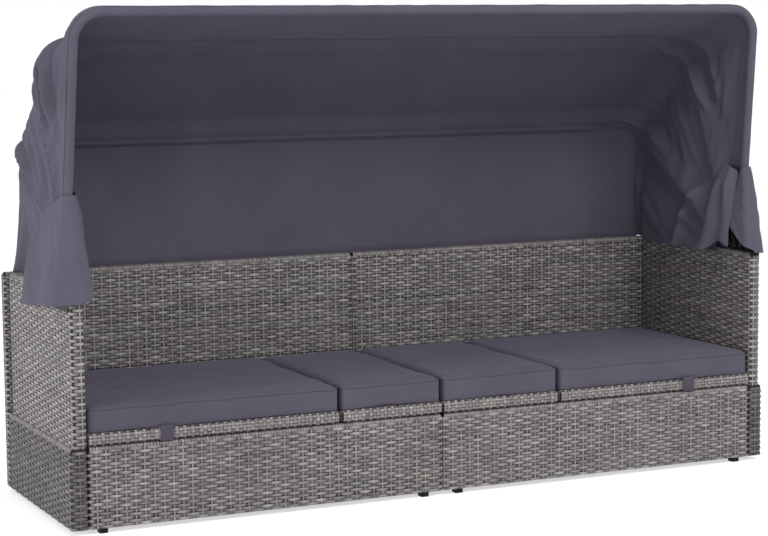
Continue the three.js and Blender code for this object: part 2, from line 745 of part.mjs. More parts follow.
function pivotBolt() {
  const centre = [PIVOT_Y, PIVOT_HEIGHT];
  const seat = BRACKET_X[0] - FIT;
  const nut = -HOOPS.rear.foot + HOOP_TUBE_RADIUS + FIT;
  return joined([
    cylinder(PIVOT_BOLT_RADIUS, 0, [seat - FIT, nut + PIVOT_NUT_THICKNESS], centre),
    cylinder(PIVOT_HEAD_RADIUS, 0, [seat - PIVOT_HEAD_HEIGHT, seat], centre, NUT_SIDES),
    cylinder(PIVOT_HEAD_RADIUS, 0, [nut, nut + PIVOT_NUT_THICKNESS], centre, NUT_SIDES),
  ]);
}

// Canopy hoops, each drawn in its own plane with the pivot at the origin and Z along the legs

const HOOPS = Object.fromEntries(
  Object.entries(HOOP_SIZES).map(([name, { angle, length, place, lean }]) => {
    const footX = FRONT_HOOP_X - place * HOOP_PITCH;
    return [name, { angle, length, foot: footX, corner: footX + lean }];
  }),
);

function hoopLegX(hoop, radius) {
  return hoop.foot + ((hoop.corner - hoop.foot) * radius) / (hoop.length - HOOP_BEND);
}

// Points of a leg's upper bend, from the leg to the cross bar, moved out by an offset.
function hoopBend(hoop, offset, steps) {
  const points = [];
  for (let i = 0; i <= steps; i += 1) {
    const angle = Math.PI - (Math.PI / 2) * (i / steps);
    points.push([
      -(hoop.corner - HOOP_BEND) + (HOOP_BEND + offset) * Math.cos(angle),
      hoop.length - HOOP_BEND + (HOOP_BEND + offset) * Math.sin(angle),
    ]);
  }
  return points;
}

function inHoopPlane(points) {
  return points.map(([x, radius]) => new THREE.Vector3(x, 0, radius));
}

function hoopStubX(hoop) {
  return -(hoop.corner - HOOP_BEND - HOOP_STUB);
}

function hoopLeg(hoop) {
  const path = inHoopPlane([
    [-hoopLegX(hoop, -HOOP_TAIL), -HOOP_TAIL],
    ...hoopBend(hoop, 0, BEND_STEPS),
    [hoopStubX(hoop), hoop.length],
  ]);
  const tube = sweptTube(path, HOOP_TUBE_RADIUS, HOOP_TUBE_RADIUS - HOOP_WALL);
  const drilled = around(-hoop.foot, 4 * HOOP_TUBE_RADIUS);
  const drill = cylinder(holeRadius(PIVOT_BOLT_RADIUS), 0, drilled, [0, 0]);
  return cutBy(tube, [drill]);
}

function hoopBar(hoop) {
  const end = -hoopStubX(hoop) - FIT;
  return ring(HOOP_TUBE_RADIUS, HOOP_TUBE_RADIUS - HOOP_WALL, 0, [-end, end], [0, hoop.length]);
}

function hoopSleeve(hoop) {
  const left = [
    [-hoopLegX(hoop, SLEEVE_START), SLEEVE_START],
    ...hoopBend(hoop, 0, BEND_STEPS),
  ];
  const right = left.map(([x, radius]) => [-x, radius]).reverse();
  const bore = HOOP_TUBE_RADIUS + FIT;
  return sweptTube(inHoopPlane([...left, ...right]), bore + SLEEVE_THICKNESS, bore);
}

// Canopy cloth: the outline of a hoop in space, from the left leg over the top to the right leg

function mirroredPath(left) {
  const right = left.map((point) => new THREE.Vector3(-point.x, point.y, point.z)).reverse();
  const between = [];
  for (let i = 1; i < TOP_STEPS; i += 1) {
    between.push(left[left.length - 1].clone().lerp(right[0], i / TOP_STEPS));
  }
  return [...left, ...between, ...right];
}

function hoopOutline(hoop, start, offset, seam) {
  const angle = hoop.angle * DEGREE + seam / hoop.length;
  const end = hoop.length - HOOP_BEND;
  const plane = [];
  for (let i = 0; i < GUSSET_STEPS; i += 1) {
    const radius = start + ((end - start) * i) / GUSSET_STEPS;
    plane.push([-hoopLegX(hoop, radius) - offset, radius]);
  }
  plane.push(...hoopBend(hoop, offset, BEND_STEPS));
  const left = plane.map(([x, radius]) => {
    return new THREE.Vector3(
      x,
      PIVOT_Y + radius * Math.cos(angle),
      PIVOT_HEIGHT + radius * Math.sin(angle),
    );
  });
  return mirroredPath(left);
}

// A sheet between two outlines. Each outline gives its points for an offset from the hoops, and the
// sheet sags inwards and folds a little between them.
function clothBetween(first, second) {
  const outerEnds = [first(CLOTH_OFFSET + CLOTH), second(CLOTH_OFFSET + CLOTH)];
  const innerEnds = [first(CLOTH_OFFSET), second(CLOTH_OFFSET)];
  const [outer, inner] = [[], []];
  for (let i = 0; i <= PANEL_ROWS; i += 1) {
    const share = i / PANEL_ROWS;
    const outerRow = [];
    const innerRow = [];
    outerEnds[0].forEach((start, j) => {
      const outside = start.clone().lerp(outerEnds[1][j], share);
      const inside = innerEnds[0][j].clone().lerp(innerEnds[1][j], share);
      const inward = inside.clone().sub(outside).normalize();
      const fold = CLOTH_FOLD_SHARE * Math.sin((j * Math.PI) / 2) * share;
      const span = start.distanceTo(outerEnds[1][j]);
      const move = inward.multiplyScalar(span * (CLOTH_SAG_SHARE + fold) * Math.sin(Math.PI * share));
      outerRow.push(outside.add(move));
      innerRow.push(inside.add(move));
    });
    outer.push(outerRow);
    inner.push(innerRow);
  }
  return closedSheet(outer, inner);
}

function frontPanel() {
  return clothBetween(
    (offset) => hoopOutline(HOOPS.front, GUSSET_START, offset, -CLOTH_SEAM),
    (offset) => hoopOutline(HOOPS.mid, GUSSET_START, offset, CLOTH_SEAM),
  );
}

function midPanel() {
  return clothBetween(
    (offset) => hoopOutline(HOOPS.mid, GUSSET_START, offset, -CLOTH_SEAM),
    (offset) => hoopOutline(HOOPS.rear, GUSSET_START, offset, CLOTH_SEAM),
  );
}

// The curtain's lower edge: along both arms just above them, and lower down behind the back panels.
function curtainHem(offset) {
  const proud = offset - CLOTH_OFFSET - CLOTH;
  const rearY = HALF_DEPTH + CLOTH_REACH + proud;
  const sideX = -ARM_INNER_X - CURTAIN_SIDE_REACH - proud;
  const startY = PIVOT_Y + CURTAIN_START;
  const sideHeight = BACK_HEIGHT + CURTAIN_SIDE_RISE;
  const bend = HOOP_BEND / 2;
  const left = [];
  for (let i = 0; i < GUSSET_STEPS; i += 1) {
    const y = startY + ((rearY - bend - startY) * i) / GUSSET_STEPS;
    left.push(new THREE.Vector3(sideX, y, sideHeight));
  }
  for (let i = 0; i <= BEND_STEPS; i += 1) {
    const share = i / BEND_STEPS;
    const angle = Math.PI - (Math.PI / 2) * share;
    const drop = (CURTAIN_SIDE_RISE + CURTAIN_HEM_DROP) * share ** HEM_DROP_POWER;
    left.push(
      new THREE.Vector3(
        sideX + bend + bend * Math.cos(angle),
        rearY - bend + bend * Math.sin(angle),
        sideHeight - drop,
      ),
    );
  }
  return mirroredPath(left);
}

function rearCurtain() {
  return clothBetween(
    (offset) => hoopOutline(HOOPS.rear, GUSSET_START, offset, -CLOTH_SEAM),
    curtainHem,
  );
}

// A flap hangs from the foot of the front sleeve, round the front corner of its arm.

function flapEdge(wrapX, cornerX, frontY, rearY, bend, heights) {
  const [frontHeight, rearHeight] = heights;
  const plan = [
    [wrapX, frontY],
    [(wrapX + cornerX + bend) / 2, frontY],
  ];
  for (let i = 0; i <= BEND_STEPS; i += 1) {
    const angle = -Math.PI / 2 - (Math.PI / 2) * (i / BEND_STEPS);
    plan.push([cornerX + bend + bend * Math.cos(angle), frontY + bend + bend * Math.sin(angle)]);
  }
  for (let i = 1; i <= GUSSET_STEPS; i += 1) {
    plan.push([cornerX, frontY + bend + ((rearY - frontY - bend) * i) / GUSSET_STEPS]);
  }
  return plan.map(([x, y]) => {
    const share = (y - frontY) / (rearY - frontY);
    return new THREE.Vector3(x, y, frontHeight + (rearHeight - frontHeight) * share);
  });
}

function frontFlap() {
  const angle = HOOPS.front.angle * DEGREE;
  const legX = -hoopLegX(HOOPS.front, FLAP_START);
  const legY = PIVOT_Y + FLAP_START * Math.cos(angle);
  const legHeight = PIVOT_HEIGHT + FLAP_START * Math.sin(angle);
  const topRearY = PIVOT_Y + FLAP_TOP_LENGTH;
  const topHeights = [legHeight, PIVOT_HEIGHT + FLAP_TOP_RISE];
  const hemRearY = PIVOT_Y + FLAP_HEM_LENGTH;
  const hemHeights = [BACK_HEIGHT + FLAP_HEM_FRONT_RISE, BACK_HEIGHT - FLAP_HEM_REAR_DROP];
  const edges = (thickness) => {
    const hold = CLOTH_OFFSET + CLOTH + FIT + thickness;
    const proud = thickness - CLOTH;
    const cornerX = -HALF_WIDTH - CLOTH_SIDE_REACH - proud;
    const frontY = -HALF_DEPTH - CLOTH_REACH - proud;
    return [
      flapEdge(legX + hold, legX - hold, legY - hold, topRearY, hold * FLAP_BEND_SHARE, topHeights),
      flapEdge(cornerX + FLAP_WRAP, cornerX, frontY, hemRearY, HOOP_BEND * FLAP_BEND_SHARE, hemHeights),
    ];
  };
  const rows = (thickness) => {
    const [top, hem] = edges(thickness);
    const grid = [];
    for (let i = 0; i <= PANEL_ROWS; i += 1) {
      const share = i / PANEL_ROWS;
      grid.push(top.map((point, j) => point.clone().lerp(hem[j], share)));
    }
    return grid;
  };
  return closedSheet(rows(CLOTH), rows(0));
}

// The assembly

const daybed = new THREE.Group();

function addMesh(parent, name, geometry, material) {
  const mesh = new THREE.Mesh(geometry, material);
  mesh.name = name;
  parent.add(mesh);
  return mesh;
}

const sides = [
  ["left", 1, LEFT_HINGE_X],
  ["right", -1, RIGHT_HINGE_X],
];
for (const [side, mirror, hingeX] of sides) {
  const half = new THREE.Group();
  half.scale.x = mirror;
  daybed.add(half);

  addMesh(half, `${side}_arm_frame`, armFrame(), steelMaterial);
  addMesh(half, `${side}_arm_weave`, armWeave(), weaveMaterial);
  addMesh(half, `${side}_back_frame`, panelFrame(...BACK_PANEL), steelMaterial);
  addMesh(half, `${side}_back_weave`, wovenPanel(...BACK_PANEL), weaveMaterial);
  addMesh(half, `${side}_front_frame`, panelFrame(...FRONT_PANEL), steelMaterial);
  addMesh(half, `${side}_front_weave`, wovenPanel(...FRONT_PANEL), weaveMaterial);
  addMesh(half, `${side}_seat_frame`, seatFrame(hingeX), steelMaterial);
  addMesh(half, `${side}_rack_frame`, rackFrame(hingeX), steelMaterial);

  const smallX = [-hingeX + HINGE_GAP / 2, -BAY_INNER_X];
  const smallWeave = boardWeave(smallX, lugSlots(hingeX, 1));
  addMesh(half, `${side}_small_board_frame`, smallFrame(smallX, hingeX), steelMaterial);
  addMesh(half, `${side}_small_board_weave`, smallWeave, weaveMaterial);
  addMesh(half, `${side}_small_cushion`, cushion(smallX), cushionMaterial);

  const largeX = [-BAY_OUTER_X, -hingeX - HINGE_GAP / 2];
  const reclinerWeave = boardWeave(largeX, lugSlots(hingeX, -1));
  addMesh(half, `${side}_recliner_frame`, reclinerFrame(largeX, hingeX), steelMaterial);
  addMesh(half, `${side}_recliner_weave`, reclinerWeave, weaveMaterial);
  addMesh(half, `${side}_recliner_cushion`, cushion(largeX), cushionMaterial);
  addMesh(half, `${side}_hinge_rod`, hingeRod(hingeX), zincMaterial);
  addMesh(half, `${side}_prop_bail`, propBail(hingeX), zincMaterial);

  addMesh(half, `${side}_front_foot`, foot(-HALF_WIDTH + FOOT_INSET, -1), footMaterial);
  addMesh(half, `${side}_rear_foot`, foot(-HALF_WIDTH + FOOT_INSET, 1), footMaterial);
  addMesh(half, `${side}_front_inner_foot`, foot(-INNER_FOOT_INSET, -1), footMaterial);
  addMesh(half, `${side}_bracket_bolt`, bracketBolt(), zincMaterial);
  addMesh(half, `${side}_pivot_bolt`, pivotBolt(), zincMaterial);
  addMesh(half, `${side}_canopy_bracket`, canopyBracket(), steelMaterial);
  addMesh(half, `${side}_front_flap`, frontFlap(), canopyMaterial);
}

for (const [name, hoop] of Object.entries(HOOPS)) {
  const fan = new THREE.Group();
  fan.position.set(0, PIVOT_Y, PIVOT_HEIGHT);
  fan.rotation.x = (hoop.angle - 90) * DEGREE;
  daybed.add(fan);
  addMesh(fan, `left_${name}_hoop_leg`, hoopLeg(hoop), steelMaterial);
  addMesh(fan, `right_${name}_hoop_leg`, hoopLeg(hoop), steelMaterial).scale.x = -1;
  addMesh(fan, `${name}_hoop_bar`, hoopBar(hoop), steelMaterial);
  if (name === "front") addMesh(fan, "front_hoop_sleeve", hoopSleeve(hoop), canopyMaterial);
}

addMesh(daybed, "canopy_front_panel", frontPanel(), canopyMaterial);
addMesh(daybed, "canopy_mid_panel", midPanel(), canopyMaterial);
addMesh(daybed, "canopy_rear_curtain", rearCurtain(), canopyMaterial);
addMesh(daybed, "rear_middle_foot", foot(0, 1), footMaterial);

export default daybed;
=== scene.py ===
import json
import math
from types import SimpleNamespace

import bpy
import numpy as np
from mathutils import Matrix, Vector


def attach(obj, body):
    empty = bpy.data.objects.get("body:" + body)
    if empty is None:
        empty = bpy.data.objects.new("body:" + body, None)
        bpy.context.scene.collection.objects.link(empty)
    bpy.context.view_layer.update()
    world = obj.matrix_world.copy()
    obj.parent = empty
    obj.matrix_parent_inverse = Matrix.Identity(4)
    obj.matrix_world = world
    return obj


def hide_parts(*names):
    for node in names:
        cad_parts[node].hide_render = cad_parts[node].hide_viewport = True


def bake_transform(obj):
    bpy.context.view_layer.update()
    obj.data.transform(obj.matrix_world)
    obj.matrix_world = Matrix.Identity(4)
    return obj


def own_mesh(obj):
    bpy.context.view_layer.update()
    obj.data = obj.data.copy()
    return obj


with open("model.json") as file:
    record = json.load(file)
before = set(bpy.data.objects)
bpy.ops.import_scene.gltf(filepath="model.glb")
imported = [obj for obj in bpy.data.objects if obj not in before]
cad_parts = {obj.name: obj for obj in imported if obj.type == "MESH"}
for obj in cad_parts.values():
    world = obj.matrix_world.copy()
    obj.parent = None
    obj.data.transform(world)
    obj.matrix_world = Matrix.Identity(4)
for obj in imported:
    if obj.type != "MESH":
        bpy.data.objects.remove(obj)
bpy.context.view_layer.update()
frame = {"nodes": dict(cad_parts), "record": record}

# The part's lengths are in millimetres and turned into metres where a mesh is made. The lamps, the bumps,
# the weld and the camera's reach are in metres.
METRE = 0.001

# The camera, from the photograph's vanishing points and the part's corners
CAMERA_YAW, CAMERA_PITCH, CAMERA_ROLL = 25.11, 6.32, -0.55
CAMERA_PLACE = (-2407, -5084, 1192)
CAMERA_LENS = 97.77
CAMERA_SENSOR = 36
CAMERA_REACH = 100

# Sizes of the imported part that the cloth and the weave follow
HALF_WIDTH = 1000
HALF_DEPTH = 300
BACK_HEIGHT = 585
BASE_HEIGHT = 213
PANEL_FLOOR = 12
ARM_INNER_X = 960
ARM_OUTER_X = 990
ARM_REAR_Y = 258
ARM_BASE_REAR_Y = 265.7
BACK_FRONT_Y = 266
FRONT_BACK_Y = -266
BAY_OUTER_X = 957
BAY_INNER_X = 1.5
HINGE_X = {"left": 289, "right": 349}
BOARD_BOTTOM = 218.7
BOARD_TOP = 245
BOARD_REAR_Y = 263
SHELL_ROUND = 7
PIVOT_Y = -220
PIVOT_HEIGHT = 607
HOOP_BEND = 72
HOOP_TUBE = 9.5
HOOPS = {
    "front_hoop": {"angle": 97, "length": 656, "foot": 980, "corner": 966, "edge_in": 1.6},
    "mid_hoop": {"angle": 66, "length": 610, "foot": 959, "corner": 962, "edge_in": 0},
    "rear_hoop": {"angle": 32, "length": 607, "foot": 938, "corner": 949, "edge_in": 0},
}


def add_object(name, data):
    made = bpy.data.objects.new(name, data)
    bpy.context.scene.collection.objects.link(made)
    return made


def make_camera():
    yaw, pitch, roll = (math.radians(a) for a in (CAMERA_YAW, CAMERA_PITCH, CAMERA_ROLL))
    ahead = np.array([math.sin(yaw) * math.cos(pitch), math.cos(yaw) * math.cos(pitch), -math.sin(pitch)])
    level = np.array([math.cos(yaw), -math.sin(yaw), 0])
    above = np.cross(level, ahead)
    right = level * math.cos(roll) + above * math.sin(roll)
    up = above * math.cos(roll) - level * math.sin(roll)
    columns = np.stack([right, up, -ahead, np.array(CAMERA_PLACE) * METRE], axis=1)
    camera = add_object("camera", bpy.data.cameras.new("camera"))
    camera.matrix_world = Matrix([*columns.tolist(), (0, 0, 0, 1)])
    camera.data.lens = CAMERA_LENS
    camera.data.sensor_width = CAMERA_SENSOR
    camera.data.clip_end = CAMERA_REACH
    bpy.context.scene.camera = camera


make_camera()


# Materials


def srgb(*levels):
    """A colour given in 0 to 255 screen levels, as the renderer's linear one."""
    return tuple((v / 255 / 12.92) if v <= 10 else ((v / 255 + 0.055) / 1.055) ** 2.4 for v in levels) + (1,)


class Nodes:
    """Adds and joins the shader nodes of a material or a world."""

    def __init__(self, owner):
        owner.use_nodes = True
        self.owner = owner
        self.tree = owner.node_tree
        self.shader = self.tree.nodes.get("Principled BSDF")

    def add(self, kind, **values):
        node = self.tree.nodes.new(kind)
        for key, value in values.items():
            setattr(node, key, value)
        return node

    def join(self, source, target):
        """Feeds a socket from another one, or sets it to a plain value."""
        if isinstance(source, bpy.types.NodeSocket):
            self.tree.links.new(source, target)
        else:
            target.default_value = source

    def math(self, operation, a, b):
        node = self.add("ShaderNodeMath", operation=operation)
        self.join(a, node.inputs[0])
        self.join(b, node.inputs[1])
        return node.outputs[0]

    def vector(self, *values):
        node = self.add("ShaderNodeCombineXYZ")
        for value, socket in zip(values, node.inputs):
            self.join(value, socket)
        return node.outputs[0]

    def object_place(self):
        return self.add("ShaderNodeTexCoord").outputs["Object"]

    def feed(self, node, **values):
        """Feeds a node's inputs, given by name."""
        for key, value in values.items():
            self.join(value, node.inputs[key.replace("_", " ")])

    def noise(self, place, scale, detail=2.0, roughness=0.5):
        node = self.add("ShaderNodeTexNoise")
        self.feed(node, Vector=place, Scale=scale, Detail=detail, Roughness=roughness)
        return node.outputs["Fac"]

    def ramp(self, value, stops):
        node = self.add("ShaderNodeValToRGB")
        elements = node.color_ramp.elements
        while len(elements) < len(stops):
            elements.new(0.5)
        for element, (at, colour) in zip(elements, stops):
            element.position = at
            element.color = colour
        self.join(value, node.inputs[0])
        return node.outputs[0]

    def spread(self, value, low, high):
        """A value from 0 to 1, turned into one from low to high."""
        node = self.add("ShaderNodeMapRange")
        self.feed(node, Value=value, To_Min=low, To_Max=high)
        return node.outputs[0]

    def shaded(self, colour, value, low, high):
        """A colour made darker or lighter by a value from 0 to 1."""
        node = self.add("ShaderNodeVectorMath", operation="SCALE")
        self.join(colour, node.inputs[0])
        self.join(self.spread(value, low, high), node.inputs["Scale"])
        return node.outputs[0]

    def bump(self, height, strength, distance):
        node = self.add("ShaderNodeBump")
        self.feed(node, Height=height, Strength=strength, Distance=distance)
        self.set(Normal=node.outputs[0])

    def set(self, **values):
        """Feeds the material's own shader."""
        self.feed(self.shader, **values)


def new_material(name):
    return Nodes(bpy.data.materials.new(name))


def wicker(name, greys, gloss):
    """Flat synthetic rattan: each strip has its own tone, which drifts along it, and fine grooves. The lift
    is 0 where a strip dives under another, 1 where it lies on top and in between on the thin uprights. It
    paints light and shade into the colour: painted shade where a strip dives under and towards its edges,
    and a slight painted highlight where it lies on top."""
    n = new_material(name)
    part = n.add("ShaderNodeSeparateXYZ")
    n.join(n.add("ShaderNodeAttribute", attribute_name="strip").outputs["Vector"], part.inputs[0])
    lift = n.add("ShaderNodeAttribute", attribute_name="lift").outputs["Fac"]
    along, across, draw = part.outputs
    row = n.math("MULTIPLY", draw, 97.0)
    drift = n.noise(n.vector(n.math("MULTIPLY", along, 15.0), row, 0.0), 1.0, 3.0, 0.6)
    tint = n.noise(n.vector(n.math("MULTIPLY", along, 2.3), n.math("ADD", row, 31.0), 4.0), 1.0, 1.0)
    tints = [(0.3, (1.0, 0.9, 0.98, 1)), (0.5, (1, 1, 1, 1)), (0.7, (0.9, 0.97, 0.93, 1))]
    tinted = n.add("ShaderNodeMix", data_type="RGBA", blend_type="MULTIPLY")
    tones = n.ramp(drift, [(at, srgb(*grey)) for at, grey in zip(GREY_STOPS, greys)])
    n.feed(tinted, Factor=0.5, A=tones, B=n.ramp(tint, tints))
    patches = n.shaded(tinted.outputs["Result"], n.noise(n.object_place(), 5.0), 0.82, 1.18)
    groove_place = n.vector(n.math("MULTIPLY", along, 16.0), n.math("MULTIPLY", across, 2.6), row)
    grooves = n.noise(groove_place, 1.0, 3.0, 0.7)
    grooved = n.shaded(patches, grooves, 0.74, 1.26)
    # Painted shade and highlight: the lift scales the colour from 0.46 where a strip dives under to 1.1 on
    # top.
    n.set(Base_Color=n.shaded(grooved, lift, 0.46, 1.1))
    n.set(Roughness=n.spread(grooves, gloss - 0.08, gloss + 0.14))
    n.bump(grooves, 0.35, 0.0006)
    return n.owner


def painted_shade_backing():
    """The woven panels' inside, seen between the strips, coloured near-black as painted shade."""
    n = new_material("weave_painted_shade")
    grain = n.noise(n.object_place(), 180.0, 3.0, 0.6)
    # Near-black greys: painted shade between the strips.
    colour = n.ramp(grain, [(0.3, srgb(16, 15, 16)), (0.7, srgb(36, 34, 35))])
    n.set(Base_Color=colour, Roughness=n.spread(grain, 0.7, 0.95))
    n.bump(grain, 0.4, 0.001)
    return n.owner


def cloth(name, dark, light, sheen, thread):
    """Plain-woven polyester: fine crossing threads, faint cloudiness and a soft sheen."""
    n = new_material(name)
    place = n.object_place()
    colour = n.ramp(n.noise(place, 5.0, 3.0, 0.55), [(0.25, dark), (0.75, light)])
    flecks = n.noise(place, thread, 2.0, 0.6)
    n.set(Base_Color=n.shaded(colour, flecks, 0.9, 1.1), Roughness=n.spread(flecks, 0.78, 0.94))
    n.set(Sheen_Weight=sheen, Sheen_Roughness=0.5, Sheen_Tint=(0.8, 0.74, 1.0, 1), Specular_IOR_Level=0.12)
    n.bump(flecks, 0.22, 0.0006)
    return n.owner


def metal(name, dark, light, metallic, rough, gloss=0.5):
    """Coated or plated metal, or moulded plastic, with uneven wear."""
    n = new_material(name)
    wear = n.noise(n.object_place(), 60.0, 4.0, 0.6)
    n.set(Base_Color=n.ramp(wear, [(0.35, dark), (0.7, light)]), Metallic=metallic, Specular_IOR_Level=gloss)
    n.set(Roughness=n.spread(wear, rough - 0.08, rough + 0.12))
    n.bump(wear, 0.12, 0.0004)
    return n.owner


GREY_STOPS = (0.26, 0.4, 0.52, 0.64, 0.78)
GREYS = ((98, 93, 94), (128, 123, 123), (150, 145, 144), (170, 166, 163), (192, 188, 184))
# A darker copy of the same rattan greys, for painted shade on the arms' lower parts.
PAINTED_SHADE_GREYS = ((61, 56, 57), (85, 80, 81), (104, 99, 99), (125, 120, 118), (149, 145, 141))
WICKER = wicker("wicker", GREYS, 0.46)
WICKER_PAINTED_SHADE = wicker("wicker_painted_shade", PAINTED_SHADE_GREYS, 0.5)
PAINTED_SHADE_BACKING = painted_shade_backing()
CANOPY = cloth("canopy_cloth", srgb(92, 87, 102), srgb(100, 95, 111), 0.12, 900.0)
CUSHION = cloth("cushion_cloth", srgb(91, 86, 101), srgb(101, 96, 111), 0.18, 700.0)
STRAP = cloth("strap_webbing", srgb(82, 77, 90), srgb(92, 87, 100), 0.1, 1200.0)
STEEL = metal("coated_steel", srgb(24, 24, 26), srgb(36, 36, 39), 0.0, 0.5, 0.3)
ZINC = metal("zinc_steel", srgb(96, 97, 100), srgb(128, 129, 132), 0.9, 0.42)
PLASTIC = metal("foot_plastic", srgb(14, 14, 15), srgb(24, 24, 25), 0.0, 0.6, 0.2)


# Meshes


def ripple(a, b, scale, seed, waves=9):
    """Smooth wandering noise, mostly from -1 to 1, as a sum of seeded sine waves."""
    draw = np.random.default_rng(seed)
    total = 0.0
    for _ in range(waves):
        angle, phase = draw.uniform(0, 2 * math.pi, 2)
        size = 2 * math.pi / scale * draw.uniform(0.6, 1.6)
        total = total + np.sin(size * (a * math.cos(angle) + b * math.sin(angle)) + phase)
    return total / math.sqrt(waves) * 0.8


def smooth(value, low, high):
    """0 below low, 1 above high and a smooth step between."""
    t = np.clip((value - low) / (high - low), 0, 1)
    return t * t * (3 - 2 * t)


def run_along(points):
    """The distance along a line of points, at each of them."""
    return np.concatenate([[0], np.cumsum(np.linalg.norm(np.diff(points, axis=0), axis=1))])


def unit(vectors):
    """The directions of vectors, at length 1."""
    return vectors / np.linalg.norm(vectors, axis=-1, keepdims=True)


def mix(first, second, share):
    """first where share is 0, second where it is 1, and even steps between."""
    return first * (1 - share) + second * share


def looked_up(at, arc, line):
    """The points of a line at given distances along it."""
    return np.stack([np.interp(at, arc, line[:, k]) for k in range(line.shape[1])], axis=1)


def turned(start, end, count):
    """Points round a circle of radius 1, from one angle to another, both in quarter turns."""
    angle = math.pi / 2 * np.linspace(start, end, count)
    return np.stack([np.cos(angle), np.sin(angle)], axis=1)


def block_faces(blocks, rows, columns, wrap=False):
    """Quads of several equal grids of points that follow each other."""
    r = np.arange(rows if wrap else rows - 1)[None, :, None]
    c = np.arange(columns - 1)[None, None, :]
    first = (np.arange(blocks) * rows * columns)[:, None, None]
    here = first + r * columns + c
    ahead = first + ((r + 1) % rows) * columns + c
    return np.stack([here, ahead, ahead + 1, here + 1], axis=-1).reshape(-1, 4)


def make_object(name, points, faces, material, strip=None, flip=False):
    """A smooth-shaded mesh object from points in millimetres and quads."""
    points = np.asarray(points, float).reshape(-1, 3) * METRE
    faces = np.asarray(faces, np.int32).reshape(-1, 4)
    if flip:
        faces = faces[:, ::-1]
    mesh = bpy.data.meshes.new(name)
    mesh.vertices.add(len(points))
    mesh.vertices.foreach_set("co", points.astype(np.float32).ravel())
    mesh.loops.add(faces.size)
    mesh.loops.foreach_set("vertex_index", faces.ravel())
    mesh.polygons.add(len(faces))
    mesh.polygons.foreach_set("loop_start", np.arange(0, faces.size, 4, dtype=np.int32))
    mesh.update(calc_edges=True)
    mesh.validate()
    mesh.shade_smooth()
    if strip is not None:
        attribute = mesh.attributes.new("strip", "FLOAT_VECTOR", "POINT")
        attribute.data.foreach_set("vector", np.ascontiguousarray(strip[:, :3], np.float32).ravel())
        # The lift carries the rattan's painted shade and highlight.
        attribute = mesh.attributes.new("lift", "FLOAT", "POINT")
        attribute.data.foreach_set("value", np.ascontiguousarray(strip[:, 3], np.float32))
    mesh.materials.append(material)
    return add_object(name, mesh)


def make_cloth(name, grid, material=CANOPY, thickness=1.3):
    """A single sheet from a grid of points, with its thickness as a modifier."""
    made = make_object(name, grid, block_faces(1, *grid.shape[:2]), material)
    modifier = made.modifiers.new("cloth", "SOLIDIFY")
    modifier.thickness = thickness * METRE
    modifier.offset = 0
    return made


# Weave

ROW_PITCH = 8.1
LIP_PITCH = 10.4
STRIP_WIDTH = 7.0
STRIP_RISE = 1.6
STRIP_WAVE = 1.15
STRIP_CROWN = 0.7
STRIP_UNEVEN = 0.16
RISE_UNEVEN = 0.12
# Painted shade in the rattan's colour: the lift of strips with no warps, and how much darker each strip's
# edges are.
PLAIN_SHADE_LEVEL = 0.85
EDGE_SHADE = 0.12
WARP_WIDTH = 4.0
WARP_RISE = 0.1
WARP_CROWN = 0.35
# Painted shade on the warps: their lift where they pass under the rows and where they pass over.
WARP_UNDER_SHADE_LEVEL = 0.45
WARP_OVER_SHADE_LEVEL = 0.86
ARM_WARP = 26.9
BACK_WARP = 24.2
FRONT_WARP = 24.6
LIP_WARP = 8.6
BACK_SLOTS = 0.3
FACE_SAMPLE = 6.2
EDGE_SAMPLE = 3.0
TURN_POINTS = 5
ACROSS = np.array([-0.5, 0.0, 0.5])
SQUARED = (2 * ACROSS) ** 2


def resampled(parts, closed=False):
    """An even path through parts of points and normals: its points, outward normals and arc lengths."""
    points, normals = (np.vstack(part) for part in zip(*parts))
    if closed:
        points, normals = (np.vstack([line, line[:1]]) for line in (points, normals))
    arc = run_along(points)
    count = max(4, int(round(arc[-1] / (FACE_SAMPLE if closed else EDGE_SAMPLE))))
    at = np.linspace(0, arc[-1], count + 1)
    at = at[:-1] if closed else at
    return looked_up(at, arc, points), unit(looked_up(at, arc, normals)), at, arc[-1], closed


def bent(centre, start, end, outside=1):
    """Points and normals round one of a panel's rounded edges."""
    normals = turned(start, end, TURN_POINTS) * (outside, 1)
    return centre + SHELL_ROUND * normals, normals


def loop_path(a, b):
    """A closed path round a panel, a rounded rectangle over two ranges."""
    a0, a1, b0, b1 = a[0] + SHELL_ROUND, a[1] - SHELL_ROUND, b[0] + SHELL_ROUND, b[1] - SHELL_ROUND
    corners = enumerate([(a1, b0), (a1, b1), (a0, b1), (a0, b0)])
    return resampled([bent(corner, k - 1, k) for k, corner in corners], closed=True)


def lip_path(face, inward, levels, lips):
    """An open path round one rounded edge band: in over the top, down the face and in under the bottom.
    face is the outer coordinate, inward its sign towards the inside, levels the low and high ones."""
    low, top = levels
    inner = face + inward * SHELL_ROUND
    parts = [([(inner + inward * lips[1], top)], [(0, 1)]), bent((inner, top - SHELL_ROUND), 1, 0, -inward)]
    if lips[0] is None:
        parts.append(([(face, low)], [(-inward, 0)]))
    else:
        parts.append(bent((inner, low + SHELL_ROUND), 0, -1, -inward))
        parts.append(([(inner + inward * lips[0], low)], [(0, -1)]))
    return resampled(parts)


def cap_path(across, top, fall):
    """An open path over the top of a panel, from one face to the other."""
    low, high = across
    parts = [
        ([(low, top - fall)], [(-1, 0)]),
        bent((low + SHELL_ROUND, top - SHELL_ROUND), 2, 1),
        bent((high - SHELL_ROUND, top - SHELL_ROUND), 1, 0),
        ([(high, top - fall)], [(1, 0)]),
    ]
    return resampled(parts)


